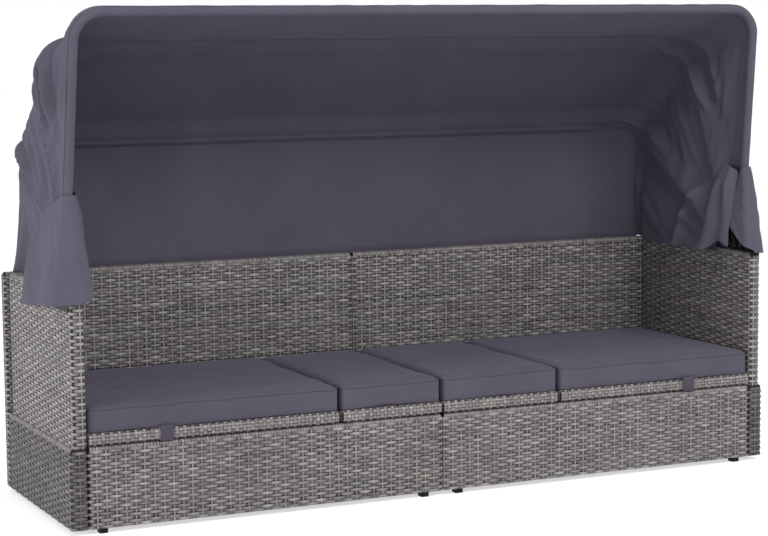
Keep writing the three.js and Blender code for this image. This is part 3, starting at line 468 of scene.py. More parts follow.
class Weaving:
    """Collects the strips of one woven piece. axes are the world axes of a path's plane and of the stack."""

    def __init__(self, seed, mirror):
        self.draw = np.random.default_rng(seed)
        self.mirror = mirror
        self.points, self.faces, self.strips, self.count = [], [], [], 0

    def put(self, plane, stack, axes, facts, wrap=False):
        """Adds a grid of (strips, samples, across), from its points in the plane and places in the stack."""
        grid = np.empty(plane.shape[:-1] + (3,))
        grid[..., axes[:2]] = plane
        grid[..., axes[2]] = stack
        if self.mirror:
            grid[..., 0] *= -1
        blocks, rows, columns, _ = grid.shape
        self.faces.append(block_faces(blocks, rows, columns, wrap) + self.count)
        self.points.append(grid.reshape(-1, 3))
        facts = [np.broadcast_to(fact, stack.shape) for fact in facts]
        self.strips.append(np.stack(facts, axis=-1).reshape(-1, 4))
        self.count += blocks * rows * columns

    def make(self, name, material, body):
        points, faces, strips = (np.vstack(rows) for rows in (self.points, self.faces, self.strips))
        made = make_object(name, points, faces, material, strips)
        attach(made, body)

    def wound(self, path, stack, axes, warp_pitch=None, tuck=None, pitch=ROW_PITCH, slots=0.0):
        """Strips side by side along the stack, each following the path, over and under the warps if there are
        any. tuck turns the strips' ends in on an open path, and slots opens wider gaps under some rows."""
        place, normal, at, total, closed = path
        rows = max(1, int(round((stack[1] - stack[0]) / pitch)))
        pitch = (stack[1] - stack[0]) / rows
        centre = stack[0] + (np.arange(rows) + 0.5) * pitch + self.draw.normal(0, STRIP_UNEVEN, rows)
        width = STRIP_WIDTH * pitch / ROW_PITCH * self.draw.uniform(0.93, 1.05, rows)
        if slots:
            wide = (np.arange(rows) + int(self.draw.integers(3))) % 3 == 0
            width = np.where(wide, width * (1 - slots), width)
            centre = centre + np.where(wide, slots * pitch / 4, 0)
        own = self.draw.uniform(0, 1, rows)
        wave, lift = np.zeros((rows, len(at))), np.full((rows, len(at)), PLAIN_SHADE_LEVEL)
        if warp_pitch:
            crossings = max(2, 2 * int(round(total / warp_pitch / 2)))
            warp_pitch = total / crossings
            parity = (np.arange(rows) % 2)[:, None]
            wave = np.clip(1.5 * np.sin(math.pi * (at / warp_pitch + parity)), -1, 1)
            lift = 0.5 + 0.5 * wave
        rise = STRIP_RISE + STRIP_WAVE * wave + self.draw.normal(0, RISE_UNEVEN, rows)[:, None]
        if tuck:
            ends = smooth(np.minimum(at, total - at), 0, tuck)
            rise = rise * ends - 0.6 * (1 - ends)
        height = rise[:, :, None] - STRIP_CROWN * SQUARED
        plane = place[:, None] + normal[:, None] * height[..., None]
        level = np.broadcast_to(centre[:, None, None] + ACROSS * width[:, None, None], height.shape)
        # The lift, less towards each strip's edges, is the painted shade that the material puts into the
        # colour.
        shade = lift[:, :, None] - EDGE_SHADE * SQUARED
        facts = (at[:, None] * METRE, 2 * ACROSS, own[:, None, None], shade)
        self.put(plane, level, axes, facts, closed)
        if warp_pitch:
            self.warps(path, stack[0], axes, warp_pitch, crossings, rows, pitch)

    def warps(self, path, low, axes, warp_pitch, crossings, rows, pitch):
        """Upright strands that pass over the rows where these pass under."""
        place, normal, at, total, _ = path
        where = (np.arange(crossings) + 0.5) * warp_pitch
        ring = np.append(at, total)
        spot, face = (looked_up(where, ring, np.vstack([line, line[:1]])) for line in (place, normal))
        face = unit(face)
        side = np.stack([-face[:, 1], face[:, 0]], 1)
        steps = np.arange(2 * rows + 1)
        level = low + steps * pitch / 2
        over = np.where(steps % 2 == 1, 1.0, 0.0)[None, :]
        row = (steps - 1) // 2
        over = over * np.where((np.arange(crossings)[:, None] + row[None, :]) % 2 == 0, -1.0, 1.0)
        height = (STRIP_RISE + WARP_RISE + STRIP_WAVE * over)[:, :, None] - WARP_CROWN * SQUARED
        plane = spot[:, None, None, :] + face[:, None, None, :] * height[..., None]
        plane = plane + side[:, None, None, :] * (ACROSS * WARP_WIDTH)[None, None, :, None]
        level = np.broadcast_to(level[None, :, None], height.shape)
        own = self.draw.uniform(0, 1, crossings)
        # Painted shade: a warp is darker where it passes under a row.
        lift = WARP_UNDER_SHADE_LEVEL + (WARP_OVER_SHADE_LEVEL - WARP_UNDER_SHADE_LEVEL) * (0.5 + 0.5 * over)
        self.put(plane, level, axes, (level * METRE, 2 * ACROSS, own[:, None, None], lift[:, :, None]))


def weave_arm(side, mirror, seed):
    arm = Weaving(seed, mirror)
    upper = loop_path((ARM_INNER_X, ARM_OUTER_X), (-HALF_DEPTH, ARM_REAR_Y))
    arm.wound(upper, (BASE_HEIGHT, BACK_HEIGHT - 7), (0, 1, 2), ARM_WARP)
    top = cap_path((ARM_INNER_X, ARM_OUTER_X), BACK_HEIGHT, 9)
    arm.wound(top, (-HALF_DEPTH + 4, ARM_REAR_Y - 4), (0, 2, 1), tuck=3)
    ledge = lip_path(HALF_WIDTH, -1, (BASE_HEIGHT - 10, BASE_HEIGHT), (None, 6))
    arm.wound(ledge, (-HALF_DEPTH + 4, ARM_BASE_REAR_Y - 4), (0, 2, 1), tuck=2)
    arm.make(f"{side}_arm_strips", WICKER, "bench")
    # The arm's lower part takes the darker copy of the same rattan: painted shade.
    base = Weaving(seed + 5, mirror)
    lower = loop_path((ARM_INNER_X, HALF_WIDTH), (-HALF_DEPTH, ARM_BASE_REAR_Y))
    base.wound(lower, (PANEL_FLOOR + 1, BASE_HEIGHT - 6), (0, 1, 2), ARM_WARP)
    base.make(f"{side}_arm_base_strips", WICKER_PAINTED_SHADE, "bench")


def weave_panel(name, mirror, seed, x, y, top, fall, margins, warp, slots=0.0):
    """An upright panel along the seat: its faces, and its top edge, which keeps two margins inside x."""
    panel = Weaving(seed, mirror)
    panel.wound(loop_path(x, y), (PANEL_FLOOR + 1, top - fall + 2), (0, 1, 2), warp, slots=slots)
    panel.wound(cap_path(y, top, fall), (x[0] + margins[0], x[1] - margins[1]), (1, 2, 0), tuck=3)
    panel.make(name, WICKER, "bench")


def weave_board(name, mirror, seed, x, body):
    """A seat board's four wrapped edges."""
    board = Weaving(seed, mirror)
    levels = (BOARD_BOTTOM, BOARD_TOP)
    for face, inward in ((-HALF_DEPTH, 1), (BOARD_REAR_Y, -1)):
        path = lip_path(face, inward, levels, (2, 26))
        board.wound(path, (x[0] + 2, x[1] - 2), (1, 2, 0), LIP_WARP, tuck=2, pitch=LIP_PITCH)
    for face, inward in ((x[0], 1), (x[1], -1)):
        path = lip_path(face, inward, levels, (2, 14))
        board.wound(path, (-HALF_DEPTH + 3, BOARD_REAR_Y - 3), (0, 2, 1), tuck=2)
    board.make(name, WICKER, body)


for side, mirror, seed in (("left", True, 11), ("right", False, 47)):
    weave_arm(side, mirror, seed)
    x, y = (BAY_INNER_X, HALF_WIDTH), (BACK_FRONT_Y, HALF_DEPTH)
    weave_panel(f"{side}_back_strips", mirror, seed + 1, x, y, BACK_HEIGHT, 9, (3, 4), BACK_WARP, BACK_SLOTS)
    x, y = (BAY_INNER_X, BAY_OUTER_X), (-HALF_DEPTH, FRONT_BACK_Y)
    weave_panel(f"{side}_front_strips", mirror, seed + 2, x, y, BASE_HEIGHT, 8, (3, 3), FRONT_WARP)
    x = (BAY_INNER_X, HINGE_X[side] - 4)
    weave_board(f"{side}_small_board_strips", mirror, seed + 3, x, "bench")
    x = (HINGE_X[side] + 4, BAY_OUTER_X)
    weave_board(f"{side}_recliner_strips", mirror, seed + 4, x, f"{side}_recliner")


# Canopy cloth

LEG_POINTS = 80
BEND_POINTS = 22
TOP_POINTS = 240
PANEL_ROWS = 50
CLOTH_OFFSET = 13.7
CLOTH_SEAM = 0.4
SAG_SHARE = 0.045
GUSSET_START = 72
LEG_FOLD = 6.0
CURTAIN_SIDE_X = 954
CURTAIN_FRONT_Y = PIVOT_Y + 82
CURTAIN_BEHIND_Y = HALF_DEPTH + 21
CURTAIN_SIDE_HEM = 577
CURTAIN_OVER_BACK = 587.4
CURTAIN_REAR_HEM = 556
CURTAIN_FLARE = 18
CURTAIN_BEND = 42
LINING_REACH = (78, 30)
LINING_DEPTH = CLOTH_OFFSET + HOOP_TUBE + 1.4
LINING_GAP = 1.5
LINING_THICKNESS = 1.0


def leg_x(hoop, radius):
    return mix(hoop["foot"], hoop["corner"], radius / (hoop["length"] - HOOP_BEND))


def whole_outline(left, steps=TOP_POINTS):
    """The left half of an outline, the straight run over the top and the mirrored right half."""
    right = left[::-1] * (-1, 1, 1)[: left.shape[1]]
    share = np.linspace(0, 1, steps + 1)[1:-1, None]
    return np.vstack([left, mix(left[-1], right[0], share), right])


def hoop_outline(name, offset, seam=0.0):
    """A line along a hoop, offset outwards from its tube's middle and turned off it by a seam's width."""
    hoop = HOOPS[name]
    offset = offset - hoop["edge_in"]
    angle = math.radians(hoop["angle"]) + seam / hoop["length"]
    end = hoop["length"] - HOOP_BEND
    radius = np.linspace(GUSSET_START, end, LEG_POINTS, endpoint=False)
    bend = turned(2, 1, BEND_POINTS + 1) * (HOOP_BEND + offset)
    x = np.append(-leg_x(hoop, radius) - offset, HOOP_BEND - hoop["corner"] + bend[:, 0])
    radius = np.append(radius, end + bend[:, 1])
    left = [x, PIVOT_Y + radius * math.cos(angle), PIVOT_HEIGHT + radius * math.sin(angle)]
    return whole_outline(np.stack(left, axis=1))


def curtain_hem(offset):
    """The rear curtain's lower edge: inside the arms, over the back's ends and down behind the back."""
    proud = offset - CLOTH_OFFSET
    bend_y, side_x = CURTAIN_BEHIND_Y - CURTAIN_BEND + proud, -CURTAIN_SIDE_X - proud
    bend = turned(2, 1, BEND_POINTS + 1) * CURTAIN_BEND
    x = np.append(np.full(LEG_POINTS, side_x), side_x + CURTAIN_BEND + bend[:, 0])
    y = np.append(np.linspace(CURTAIN_FRONT_Y, bend_y, LEG_POINTS, endpoint=False), bend_y + bend[:, 1])
    x = x - CURTAIN_FLARE * smooth(y, ARM_REAR_Y - 10, bend_y)
    rise = smooth(y, BACK_FRONT_Y - 30, BACK_FRONT_Y - 6)
    fall = smooth(y, HALF_DEPTH + 1, HALF_DEPTH + 9)
    z = CURTAIN_SIDE_HEM + (CURTAIN_OVER_BACK - CURTAIN_SIDE_HEM) * rise
    z = z + (CURTAIN_REAR_HEM - CURTAIN_OVER_BACK) * fall
    return whole_outline(np.stack([x, y, z], axis=1))


def sheet_between(first, second, shape):
    """A sheet from one body's outline to the next one's, with its sag and the folds that shape adds, in
    millimetres outwards. The folds can follow a point's share of the way down, its distances from both
    outlines, its place along the sheet, its run up from the nearer foot, and how far it is on a leg."""
    a, b, a_out, b_out = (
        hoop_outline(body, CLOTH_OFFSET + proud, seam) if body in HOOPS else curtain_hem(CLOTH_OFFSET + proud)
        for proud in (0, 1)
        for body, seam in ((first, -CLOTH_SEAM), (second, CLOTH_SEAM))
    )
    outward = unit((a_out - a) + (b_out - b))
    share = np.linspace(0, 1, PANEL_ROWS + 1)[:, None]
    span = np.linalg.norm(b - a, axis=1)[None, :]
    along = run_along((a + b) / 2)
    j = np.arange(len(a))
    near = np.minimum(j, len(a) - 1 - j)
    facts = SimpleNamespace(
        share=share,
        first=share * span,
        second=(1 - share) * span,
        along=along[None, :],
        run=np.where(j < len(a) / 2, along, along[-1] - along)[None, :],
        leg=1 - smooth(near, LEG_POINTS - 6, LEG_POINTS + BEND_POINTS)[None, :],
    )
    lift = shape(facts) - SAG_SHARE * span * np.sin(math.pi * share)
    return mix(a, b, share[..., None]) + outward * lift[..., None]


def seam_puckers(f, distance, pitch, seed, reach=9, size=1.0):
    """Short outward ripples where a gathered seam runs along a hoop."""
    wander = ripple(f.along, 0 * f.along, 60, seed)
    wave = 0.5 + 0.5 * np.sin(2 * math.pi * f.run / pitch + 1.6 * wander)
    return size * wave * np.exp(-distance / reach) * smooth(distance, 0, 5)


def creases(distance, *rows):
    """Soft ridges and grooves, each given by its height, its place and its width."""
    return sum(height * np.exp(-(((distance - place) / width) ** 2)) for height, place, width in rows)


def loose_folds(f, seed, width):
    """Broad and fine unevenness all over a sheet, uneven folds down its sides, and neither at its seams."""
    uneven = 2.4 * ripple(f.along, f.first, 420, seed) + 0.8 * ripple(f.along, f.first, 130, seed + 1)
    hanging = ripple(f.first, f.run * 0.16, width, seed + 2)
    hanging = hanging + 0.6 * ripple(f.first, f.run * 0.3, width * 0.5, seed + 3)
    middle = np.sin(math.pi * f.share)
    return uneven * middle**0.6 + LEG_FOLD * hanging * f.leg * middle**0.7


def slack(f, size, scale, seed):
    """How far the creases beside a seam wander."""
    return size * ripple(f.run, 0 * f.run, scale, seed)


def window(f, start, end, soft):
    """1 between two places along the leg and corner of a hoop, and 0 outside them."""
    return smooth(f.run, start, start + soft) * (1 - smooth(f.run, end - soft, end))


def front_shape(f):
    to_front, to_mid = f.first, f.second
    loose = slack(f, 8, 160, 10)
    folds = creases(to_mid, (7, 0, 13), (-30, 28 + loose, 10), (15, 56 + loose, 18), (-12, 92 - loose, 14))
    return (
        loose_folds(f, 3, 95)
        + seam_puckers(f, to_mid, 25, 7, 13, 11.0) * window(f, 70, 420, 60) * f.leg
        + seam_puckers(f, to_mid, 21, 8)
        + seam_puckers(f, to_front, 23, 9)
        + window(f, 300, 680, 90) * (folds + creases(to_front, (7, 34, 14)))
    )


def mid_shape(f):
    to_mid, to_rear = f.first, f.second
    loose = slack(f, 7, 150, 31)
    behind = smooth(f.share, 0.4, 0.8) * (1 - smooth(f.share, 0.94, 1.0))
    return (
        loose_folds(f, 23, 100)
        + seam_puckers(f, to_mid, 25, 27, 13, 7.0) * window(f, 70, 420, 60) * f.leg
        + seam_puckers(f, to_rear, 23, 28, 12, 7.0) * smooth(f.run, 150, 290) * f.leg
        + seam_puckers(f, to_mid, 22, 29)
        + seam_puckers(f, to_rear, 20, 30)
        + window(f, 340, 680, 80) * creases(to_mid, (6, 0, 12), (-15, 34 + loose, 13), (8, 66, 18))
        + behind * creases(f.run, (9, 182, 20), (-18, 140, 15))
        + window(f, 300, 640, 90) * creases(to_rear, (7, 0, 14), (-13, 36 + loose, 14), (6, 70, 18))
    )


def curtain_shape(f):
    to_rear, slit = f.first, 148 + 48 * f.share
    return (
        loose_folds(f, 43, 95)
        + seam_puckers(f, to_rear, 23, 47, 12, 6.0) * smooth(f.run, 150, 290) * f.leg
        + seam_puckers(f, to_rear, 22, 48)
        + window(f, 300, 640, 90) * creases(to_rear, (7, 0, 14), (-11, 34, 14))
        + smooth(f.share, 0.04, 0.2) * creases(f.run, (12, slit + 44, 21), (-24, slit, 15))
        - 10 * window(f, 20, 230, 60) * smooth(f.share, 0.72, 1.0)
    )


def fan_blend(made):
    """Bakes a sheet's object transform into its points."""
    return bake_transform(made)


def declare(grid, whole=False):
    """Works out how large a sheet was before it was sewn and hung, from the grid that it was made from, but
    keeps nothing of it. whole keeps its area within that of its flat rectangle."""
    along = np.linalg.norm(np.diff(grid, axis=1), axis=2)
    across = np.linalg.norm(np.diff(grid, axis=0), axis=2)
    area = float((along[:-1] * across[:, :-1]).sum()) * METRE**2
    width, length = float(along.sum(axis=1).max()) * METRE, float(across.sum(axis=0).max()) * METRE
    area = min(area, width * length) if whole else area


def beside(panel, reach, count):
    """Points on a panel at even steps from its first edge, as far as reach, but less than halfway."""
    span = np.linalg.norm(panel[-1] - panel[0], axis=1)
    share = np.minimum(reach / span, 0.45)[None, :] * np.linspace(0, 1, count + 1)[1:, None]
    spot = share * (len(panel) - 1)
    lower = np.floor(spot).astype(int)
    part = (spot - lower)[..., None]
    column = np.arange(panel.shape[1])[None, :]
    return mix(panel[lower, column], panel[lower + 1, column], part)


def lining(name, body, ahead, behind):
    """The strip that holds a hoop against the canopy from inside. It follows both panels' folds beside
    the seam, and bulges inwards round the tube as a soft ridge."""
    seam, proud = (hoop_outline(body, CLOTH_OFFSET + more) for more in (0, 1))
    outward = unit(proud - seam)
    upper, lower = beside(ahead[::-1], LINING_REACH[0], 14), beside(behind, LINING_REACH[1], 8)
    rows = np.vstack([upper[::-1], seam[None], lower])
    gap = rows - seam
    height = (gap * outward).sum(axis=2)
    away = np.linalg.norm(gap - height[..., None] * outward, axis=2)
    widest = np.vstack([np.repeat(away[:1], len(upper) + 1, 0), np.repeat(away[-1:], len(lower), 0)])
    depth = LINING_DEPTH * (1 - smooth(away, 4, np.maximum(widest, 12))) + LINING_GAP
    cap = -LINING_DEPTH + 0.9 * np.maximum(away - HOOP_TUBE, 0)
    level = np.minimum(height - depth, cap)
    grid = rows + outward * (level - height)[..., None]
    made = make_cloth(name, grid, thickness=LINING_THICKNESS)
    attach(made, body)
    declare(grid)


def make_panel(name, node, first, second, shape):
    """One of the canopy's three big sheets, from a hoop to the next one or to the bench."""
    grid = sheet_between(first, second, shape)
    made = make_cloth(name, grid)
    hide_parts(node)
    declare(grid, whole=True)
    fan_blend(made)
    return grid


front = make_panel("canopy_front_cloth", "canopy_front_panel", "front_hoop", "mid_hoop", front_shape)
mid = make_panel("canopy_mid_cloth", "canopy_mid_panel", "mid_hoop", "rear_hoop", mid_shape)
curtain = make_panel("rear_curtain_cloth", "canopy_rear_curtain", "rear_hoop", "bench", curtain_shape)
lining("mid_hoop_lining", "mid_hoop", front, mid)
lining("rear_hoop_lining", "rear_hoop", mid, curtain)


# The front hoop's sleeve

SLEEVE_START = 60
SLEEVE_STEP = 7.0
SLEEVE_RADIUS = 11.0
SLEEVE_REACH = 22
SLEEVE_OVERLAP = (0.3, -0.4)
SLEEVE_WRAP = (75, -105)
SLEEVE_LOOSE = 0.05
SLEEVE_THICKNESS = 1.0


def hoop_path(hoop):
    """Points over a hoop's tube, from leg to leg in the hoop's own plane, and the normals there."""
    end, corner = hoop["length"] - HOOP_BEND, hoop["corner"] - HOOP_BEND
    radius = np.arange(SLEEVE_START, end, SLEEVE_STEP)
    bend = turned(2, 1, 15)
    points = np.vstack([np.stack([-leg_x(hoop, radius), radius], axis=1), bend * HOOP_BEND + (-corner, end)])
    normals = np.vstack([np.tile((-1, 0), (len(radius), 1)), bend])
    steps = int(2 * corner / SLEEVE_STEP) - 1
    return whole_outline(points, steps), whole_outline(normals, steps)


def sleeve_section():
    """A loop round the tube that closes on a flat seam allowance, as outward and turning distances."""
    angle = np.radians(np.linspace(*SLEEVE_WRAP, 13))
    ring = SLEEVE_RADIUS * np.stack([np.sin(angle), np.cos(angle)], axis=1)
    outer, inner = (np.array([SLEEVE_RADIUS + over, -SLEEVE_REACH]) for over in SLEEVE_OVERLAP)
    there = mix(outer, ring[0], np.linspace(0, 1, 5)[:-1, None])
    share = np.linspace(0, 1, 8)[1:]
    back = mix(ring[-1], inner, np.stack([smooth(share, 0, 1), share], axis=1))
    return np.vstack([there, ring, back])


def make_sleeve():
    hoop = HOOPS["front_hoop"]
    points, normals = hoop_path(hoop)
    arc, section = run_along(points), sleeve_section()
    angle = math.radians(hoop["angle"])
    plane = np.array([(1, 0, 0), (0, math.cos(angle), math.sin(angle))])
    turning = np.array([0, -math.sin(angle), math.cos(angle)])
    centre, out = points @ plane + (0, PIVOT_Y, PIVOT_HEIGHT), normals @ plane
    loose = 1 + SLEEVE_LOOSE * ripple(arc[:, None], 40.0 * np.arange(len(section))[None, :], 120, 61)
    grid = centre[:, None] + out[:, None] * (section[None, :, :1] * loose[..., None])
    grid = grid + turning * section[None, :, 1:]
    made = make_cloth("front_sleeve_cloth", grid, thickness=SLEEVE_THICKNESS)
    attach(made, "front_hoop")
    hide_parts("front_hoop_sleeve")


make_sleeve()


# Side drapes

DRAPE_POINTS = (44, 60)
DRAPE_X = 945
DRAPE_TOP = 806
DRAPE_HEM = 598
DRAPE_TOP_Y = (-236, -122)
DRAPE_HEM_Y = (-236, -56)
DRAPE_CURL = 14


def make_drape(side, mirror, seed):
    """The slack of the side cloth that hangs inside the hoops' feet, with a few deep upright folds."""
    down, across = np.meshgrid(*(np.linspace(0, 1, count) for count in DRAPE_POINTS), indexing="ij")
    y = mix(mix(*DRAPE_TOP_Y, across), mix(*DRAPE_HEM_Y, across), smooth(down, 0, 1))
    top = DRAPE_TOP + 50 * (1 - across) * across * 4 - 70 * across
    z = mix(top, DRAPE_HEM + 16 * np.sin(2.6 * math.pi * across), down)
    inwards = 15 * np.sin(math.pi * np.clip(across * 1.15, 0, 1)) * smooth(down, 0, 0.3)
    fold = np.sin(2 * math.pi * 1.9 * across + 0.9 + 0.5 * ripple(down, across, 1.0, seed))
    x = DRAPE_X - 19 * down - inwards - 8 * fold * smooth(down, 0, 0.35) + 2 * ripple(y, z, 90, seed + 1)
    x = x + 16 * (1 - smooth(across, 0, 0.2)) * (1 - 0.6 * down) + (13 + 22 * down) * smooth(across, 0.72, 1)
    x = x - DRAPE_CURL * smooth(down, 0.86, 1) * smooth(across, 0.4, 0.8)
    grid = np.stack([mirror * x, y, z], axis=-1)
    made = make_cloth(f"{side}_side_drape", grid)
    fan_blend(made)
    declare(grid)


make_drape("left", -1, 66)
make_drape("right", 1, 68)


# Front flaps

FLAP_START = 206
FLAP_HOLD = CLOTH_OFFSET + 1.2
FLAP_POINTS = (26, 14, 22, 26, 74)
FLAP_ROWS = 64
FLAP_PROUD = 19
FLAP_FRONT = 84
FLAP_IN_Y = -236
FLAP_FRONT_Y = -HALF_DEPTH - 22
FLAP_BENDS = (24, 58)
FLAP_TOP_REAR_Y = PIVOT_Y + 161
FLAP_HEM_REAR_Y = PIVOT_Y + 262
FLAP_REAR_TOP = PIVOT_HEIGHT + 152
FLAP_RISE = 12
FLAP_INNER_FALL = 46
FLAP_FLARE = 0.85
FLAP_LIFTS = {"left": 0, "right": 22}
FLAP_HEM_HEIGHTS = ((-0.5, 632), (0.0, 586), (0.12, 570), (0.3, 566), (0.7, 545), (1.0, 530))


def flap_plan(inner, corner, inner_bend, outer_bend, front_y, rear_y):
    """Points of a flap's edge seen from above: the inner return, the front, and the long outer side."""
    inner_x, inner_y = inner
    counts = FLAP_POINTS
    y = np.linspace(inner_y, front_y + inner_bend, counts[0], endpoint=False)
    round_in = (turned(0, -1, counts[1] + 1)[:-1] + (0, 1)) * inner_bend
    x = np.linspace(inner_x - inner_bend, corner + outer_bend, counts[2], endpoint=False)
    round_out = (turned(-1, -2, counts[3]) + (1, 1)) * outer_bend
    side = np.linspace(front_y + outer_bend, rear_y, counts[4] + 1)[1:]
    parts = [
        [(inner_x, v) for v in y],
        round_in + (inner_x - inner_bend, front_y),
        [(v, front_y) for v in x],
        round_out + (corner, front_y),
        [(corner, v) for v in side],
    ]
    return np.vstack(parts)


def flap_edges(side):
    """The flap's sewn top edge round the hoop's leg, and its hem."""
    hoop = HOOPS["front_hoop"]
    angle = math.radians(hoop["angle"])
    x, y = -leg_x(hoop, FLAP_START), PIVOT_Y + FLAP_START * math.cos(angle)
    peak = PIVOT_HEIGHT + FLAP_START * math.sin(angle) + FLAP_RISE
    hold, front_y = FLAP_HOLD, y - FLAP_HOLD
    top = flap_plan((x + hold, y + hold), x - hold, hold * 0.7, hold * 0.8, front_y, FLAP_TOP_REAR_Y)
    outer = -HALF_WIDTH - FLAP_PROUD
    hem = flap_plan((outer + FLAP_FRONT, FLAP_IN_Y), outer, *FLAP_BENDS, FLAP_FRONT_Y, FLAP_HEM_REAR_Y)
    back = np.clip((top[:, 1] - front_y) / (FLAP_TOP_REAR_Y - front_y), 0, 1)
    outside = np.arange(len(top)) >= sum(FLAP_POINTS[:3])
    fall = np.where(outside, (peak - FLAP_REAR_TOP) * back**1.2, FLAP_INNER_FALL * smooth(back, 0.0, 0.2))
    order = np.arange(len(hem)) / (len(hem) - 1)
    start = FLAP_POINTS[0] / (len(hem) - 1)
    spot = np.where(order < start, (order - start) / start * 0.5, (order - start) / (1 - start))
    height = np.interp(spot, *np.transpose(FLAP_HEM_HEIGHTS)) + FLAP_LIFTS[side] * (1 - smooth(spot, 0.5, 1))
    return np.column_stack([top, peak - fall]), np.column_stack([hem, height])


def make_flap(side, mirror, seed):
    """A front flap, which flares from its sewn edge to its hem in shallow folds and stands off behind."""
    top, hem = flap_edges(side)
    share = np.linspace(0, 1, FLAP_ROWS)[:, None]
    grid = mix(top, hem, share[..., None] ** FLAP_FLARE)
    grid[..., 2] = mix(top[:, 2], hem[:, 2], share)
    along = run_along(hem)[None, :]
    total = along[0, -1]
    normal = np.cross(np.gradient(grid, axis=1), np.gradient(grid, axis=0))
    normal /= np.linalg.norm(normal, axis=2)[..., None] + 1e-9
    if normal[FLAP_ROWS // 2, -10, 0] > 0:
        normal = -normal
    swing = 3 * np.sin(2 * math.pi * along / 230 + 0.6) + 2.5 * ripple(along, 90 * share, 190, seed)
    lift = swing * smooth(share, 0.15, 1.0)
    lift = lift + 0.9 * ripple(along, 260 * share, 60, seed + 1) * smooth(share, 0.0, 0.2)
    lift = lift + 7 * smooth(along, total - 70, total) * np.sin(math.pi * np.clip(share * 1.1, 0, 1))
    grid = (grid + normal * lift[..., None]) * (mirror, 1, 1)
    made = make_cloth(f"{side}_flap_cloth", grid)
    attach(made, "front_hoop")
    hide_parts(f"{side}_front_flap")
    declare(grid)


make_flap("left", 1, 71)
make_flap("right", -1, 75)


# Cushions

CUSHION_BOTTOM = BOARD_TOP + 0.6
CUSHION_EDGE = 309.3
CUSHION_CROWN = 8.0
CUSHION_STEP = 9.0
CUSHION_CORNER = 13.0
CUSHION_INSET = 1.4
CUSHION_BAND = 7
CUSHION_GAP = 1.6
FRONT_TUCK = 3.4
WELT_RADIUS = 1.3
WELT_LIFTS = (0.3, 1.8)
SWELL_PRESSURE = 4.0
SWELL_FRAMES = 20


def cushion_plan(x, y):
    """Points over a rounded rectangle, as a grid that reaches into its corners."""
    half = np.array([(x[1] - x[0]) / 2 - CUSHION_INSET, (y[1] - y[0]) / 2 - CUSHION_INSET])
    centre = np.array([(x[0] + x[1]) / 2, (y[0] + y[1]) / 2])
    counts = [2 * int(round(h / CUSHION_STEP)) + 1 for h in half]
    u, v = np.meshgrid(np.linspace(-1, 1, counts[0]), np.linspace(-1, 1, counts[1]))
    place = np.stack([u * half[0], v * half[1]], -1)
    size = np.abs(place)
    over = np.clip((size - (half - CUSHION_CORNER)) / CUSHION_CORNER, 0, 1)
    both = (over > 0).all(-1)
    bent_over = over * np.sqrt(1 - over[..., ::-1] ** 2 / 2)
    size = np.where(both[..., None], half - CUSHION_CORNER + bent_over * CUSHION_CORNER, size)
    return centre + np.sign(place) * size, u, v


def edge_loop(grid):
    """The points round a grid's rim, in order."""
    return np.vstack([grid[0, :-1], grid[:-1, -1], grid[-1, :0:-1], grid[:0:-1, 0]])


def joined(grids, flips, count=0):
    """The points and quads of several grids, one after another, with the quads of some turned over."""
    points, faces = [], []
    for grid, flip in zip(grids, flips):
        quads = block_faces(1, *grid.shape[:2]) + count
        faces.append(quads[:, ::-1] if flip else quads)
        points.append(grid.reshape(-1, 3))
        count += len(points[-1])
    return np.vstack(points), np.vstack(faces)


def tube_along(loop, radius, sides=6):
    """A closed tube of points round a closed loop, with its first ring again at its end."""
    up = np.array([0, 0, 1.0])
    out = unit(np.cross(unit(np.roll(loop, -1, axis=0) - np.roll(loop, 1, axis=0)), up))
    turn = np.linspace(0, 2 * math.pi, sides + 1)
    ring = out[:, None] * np.cos(turn)[None, :, None] + up * np.sin(turn)[None, :, None]
    ring = loop[:, None] + ring * radius
    return np.concatenate([ring, ring[:1]], axis=0)


def swollen(points, faces, cap):
    """A closed mesh blown up a little by a cloth simulation with pressure and no gravity, capped per axis."""
    made = make_object("swelling", points, faces, CUSHION)
    swell = made.modifiers.new("swell", "CLOTH")
    swell.settings.use_pressure = True
    swell.settings.uniform_pressure_force = SWELL_PRESSURE
    swell.settings.effector_weights.gravity = 0
    swell.settings.quality = 4
    swell.point_cache.frame_start = 1
    swell.point_cache.frame_end = SWELL_FRAMES
    scene = bpy.context.scene
    for moment in range(1, SWELL_FRAMES + 1):
        scene.frame_set(moment)
        shown = made.evaluated_get(bpy.context.evaluated_depsgraph_get())
        blown = np.empty(len(points) * 3, np.float32)
        shown.data.vertices.foreach_get("co", blown)
    scene.frame_set(1)
    bpy.data.objects.remove(made)
    moved = blown.reshape(-1, 3) / METRE - points
    return points + np.array(cap) * np.tanh(moved / np.array(cap))


def cushion_body(x, y):
    """The points and quads of a closed cushion before it swells, and its two rims' point numbers."""
    plan, u, v = cushion_plan(x, y)
    rounded = 1 - np.minimum(1, (1 - np.maximum(np.abs(u), np.abs(v))) * u.shape[1] / 4)
    top = np.dstack([plan, CUSHION_EDGE - 2 - 2 * rounded**2])
    bottom = np.dstack([plan, CUSHION_BOTTOM + 4 * rounded**2])
    rim, foot = edge_loop(top), edge_loop(bottom)
    band = mix(rim, foot, np.linspace(0, 1, CUSHION_BAND + 1)[:, None, None])
    band = np.concatenate([band, band[:, :1]], axis=1)
    points, faces = joined((top, bottom, band), (True, False, False))
    _, first, same = np.unique(np.round(points, 2), axis=0, return_index=True, return_inverse=True)
    same = same.ravel()
    loop = edge_loop(np.arange(u.size).reshape(u.shape)[..., None]).ravel()
    return points[first], same[faces], same[loop], same[u.size + loop]


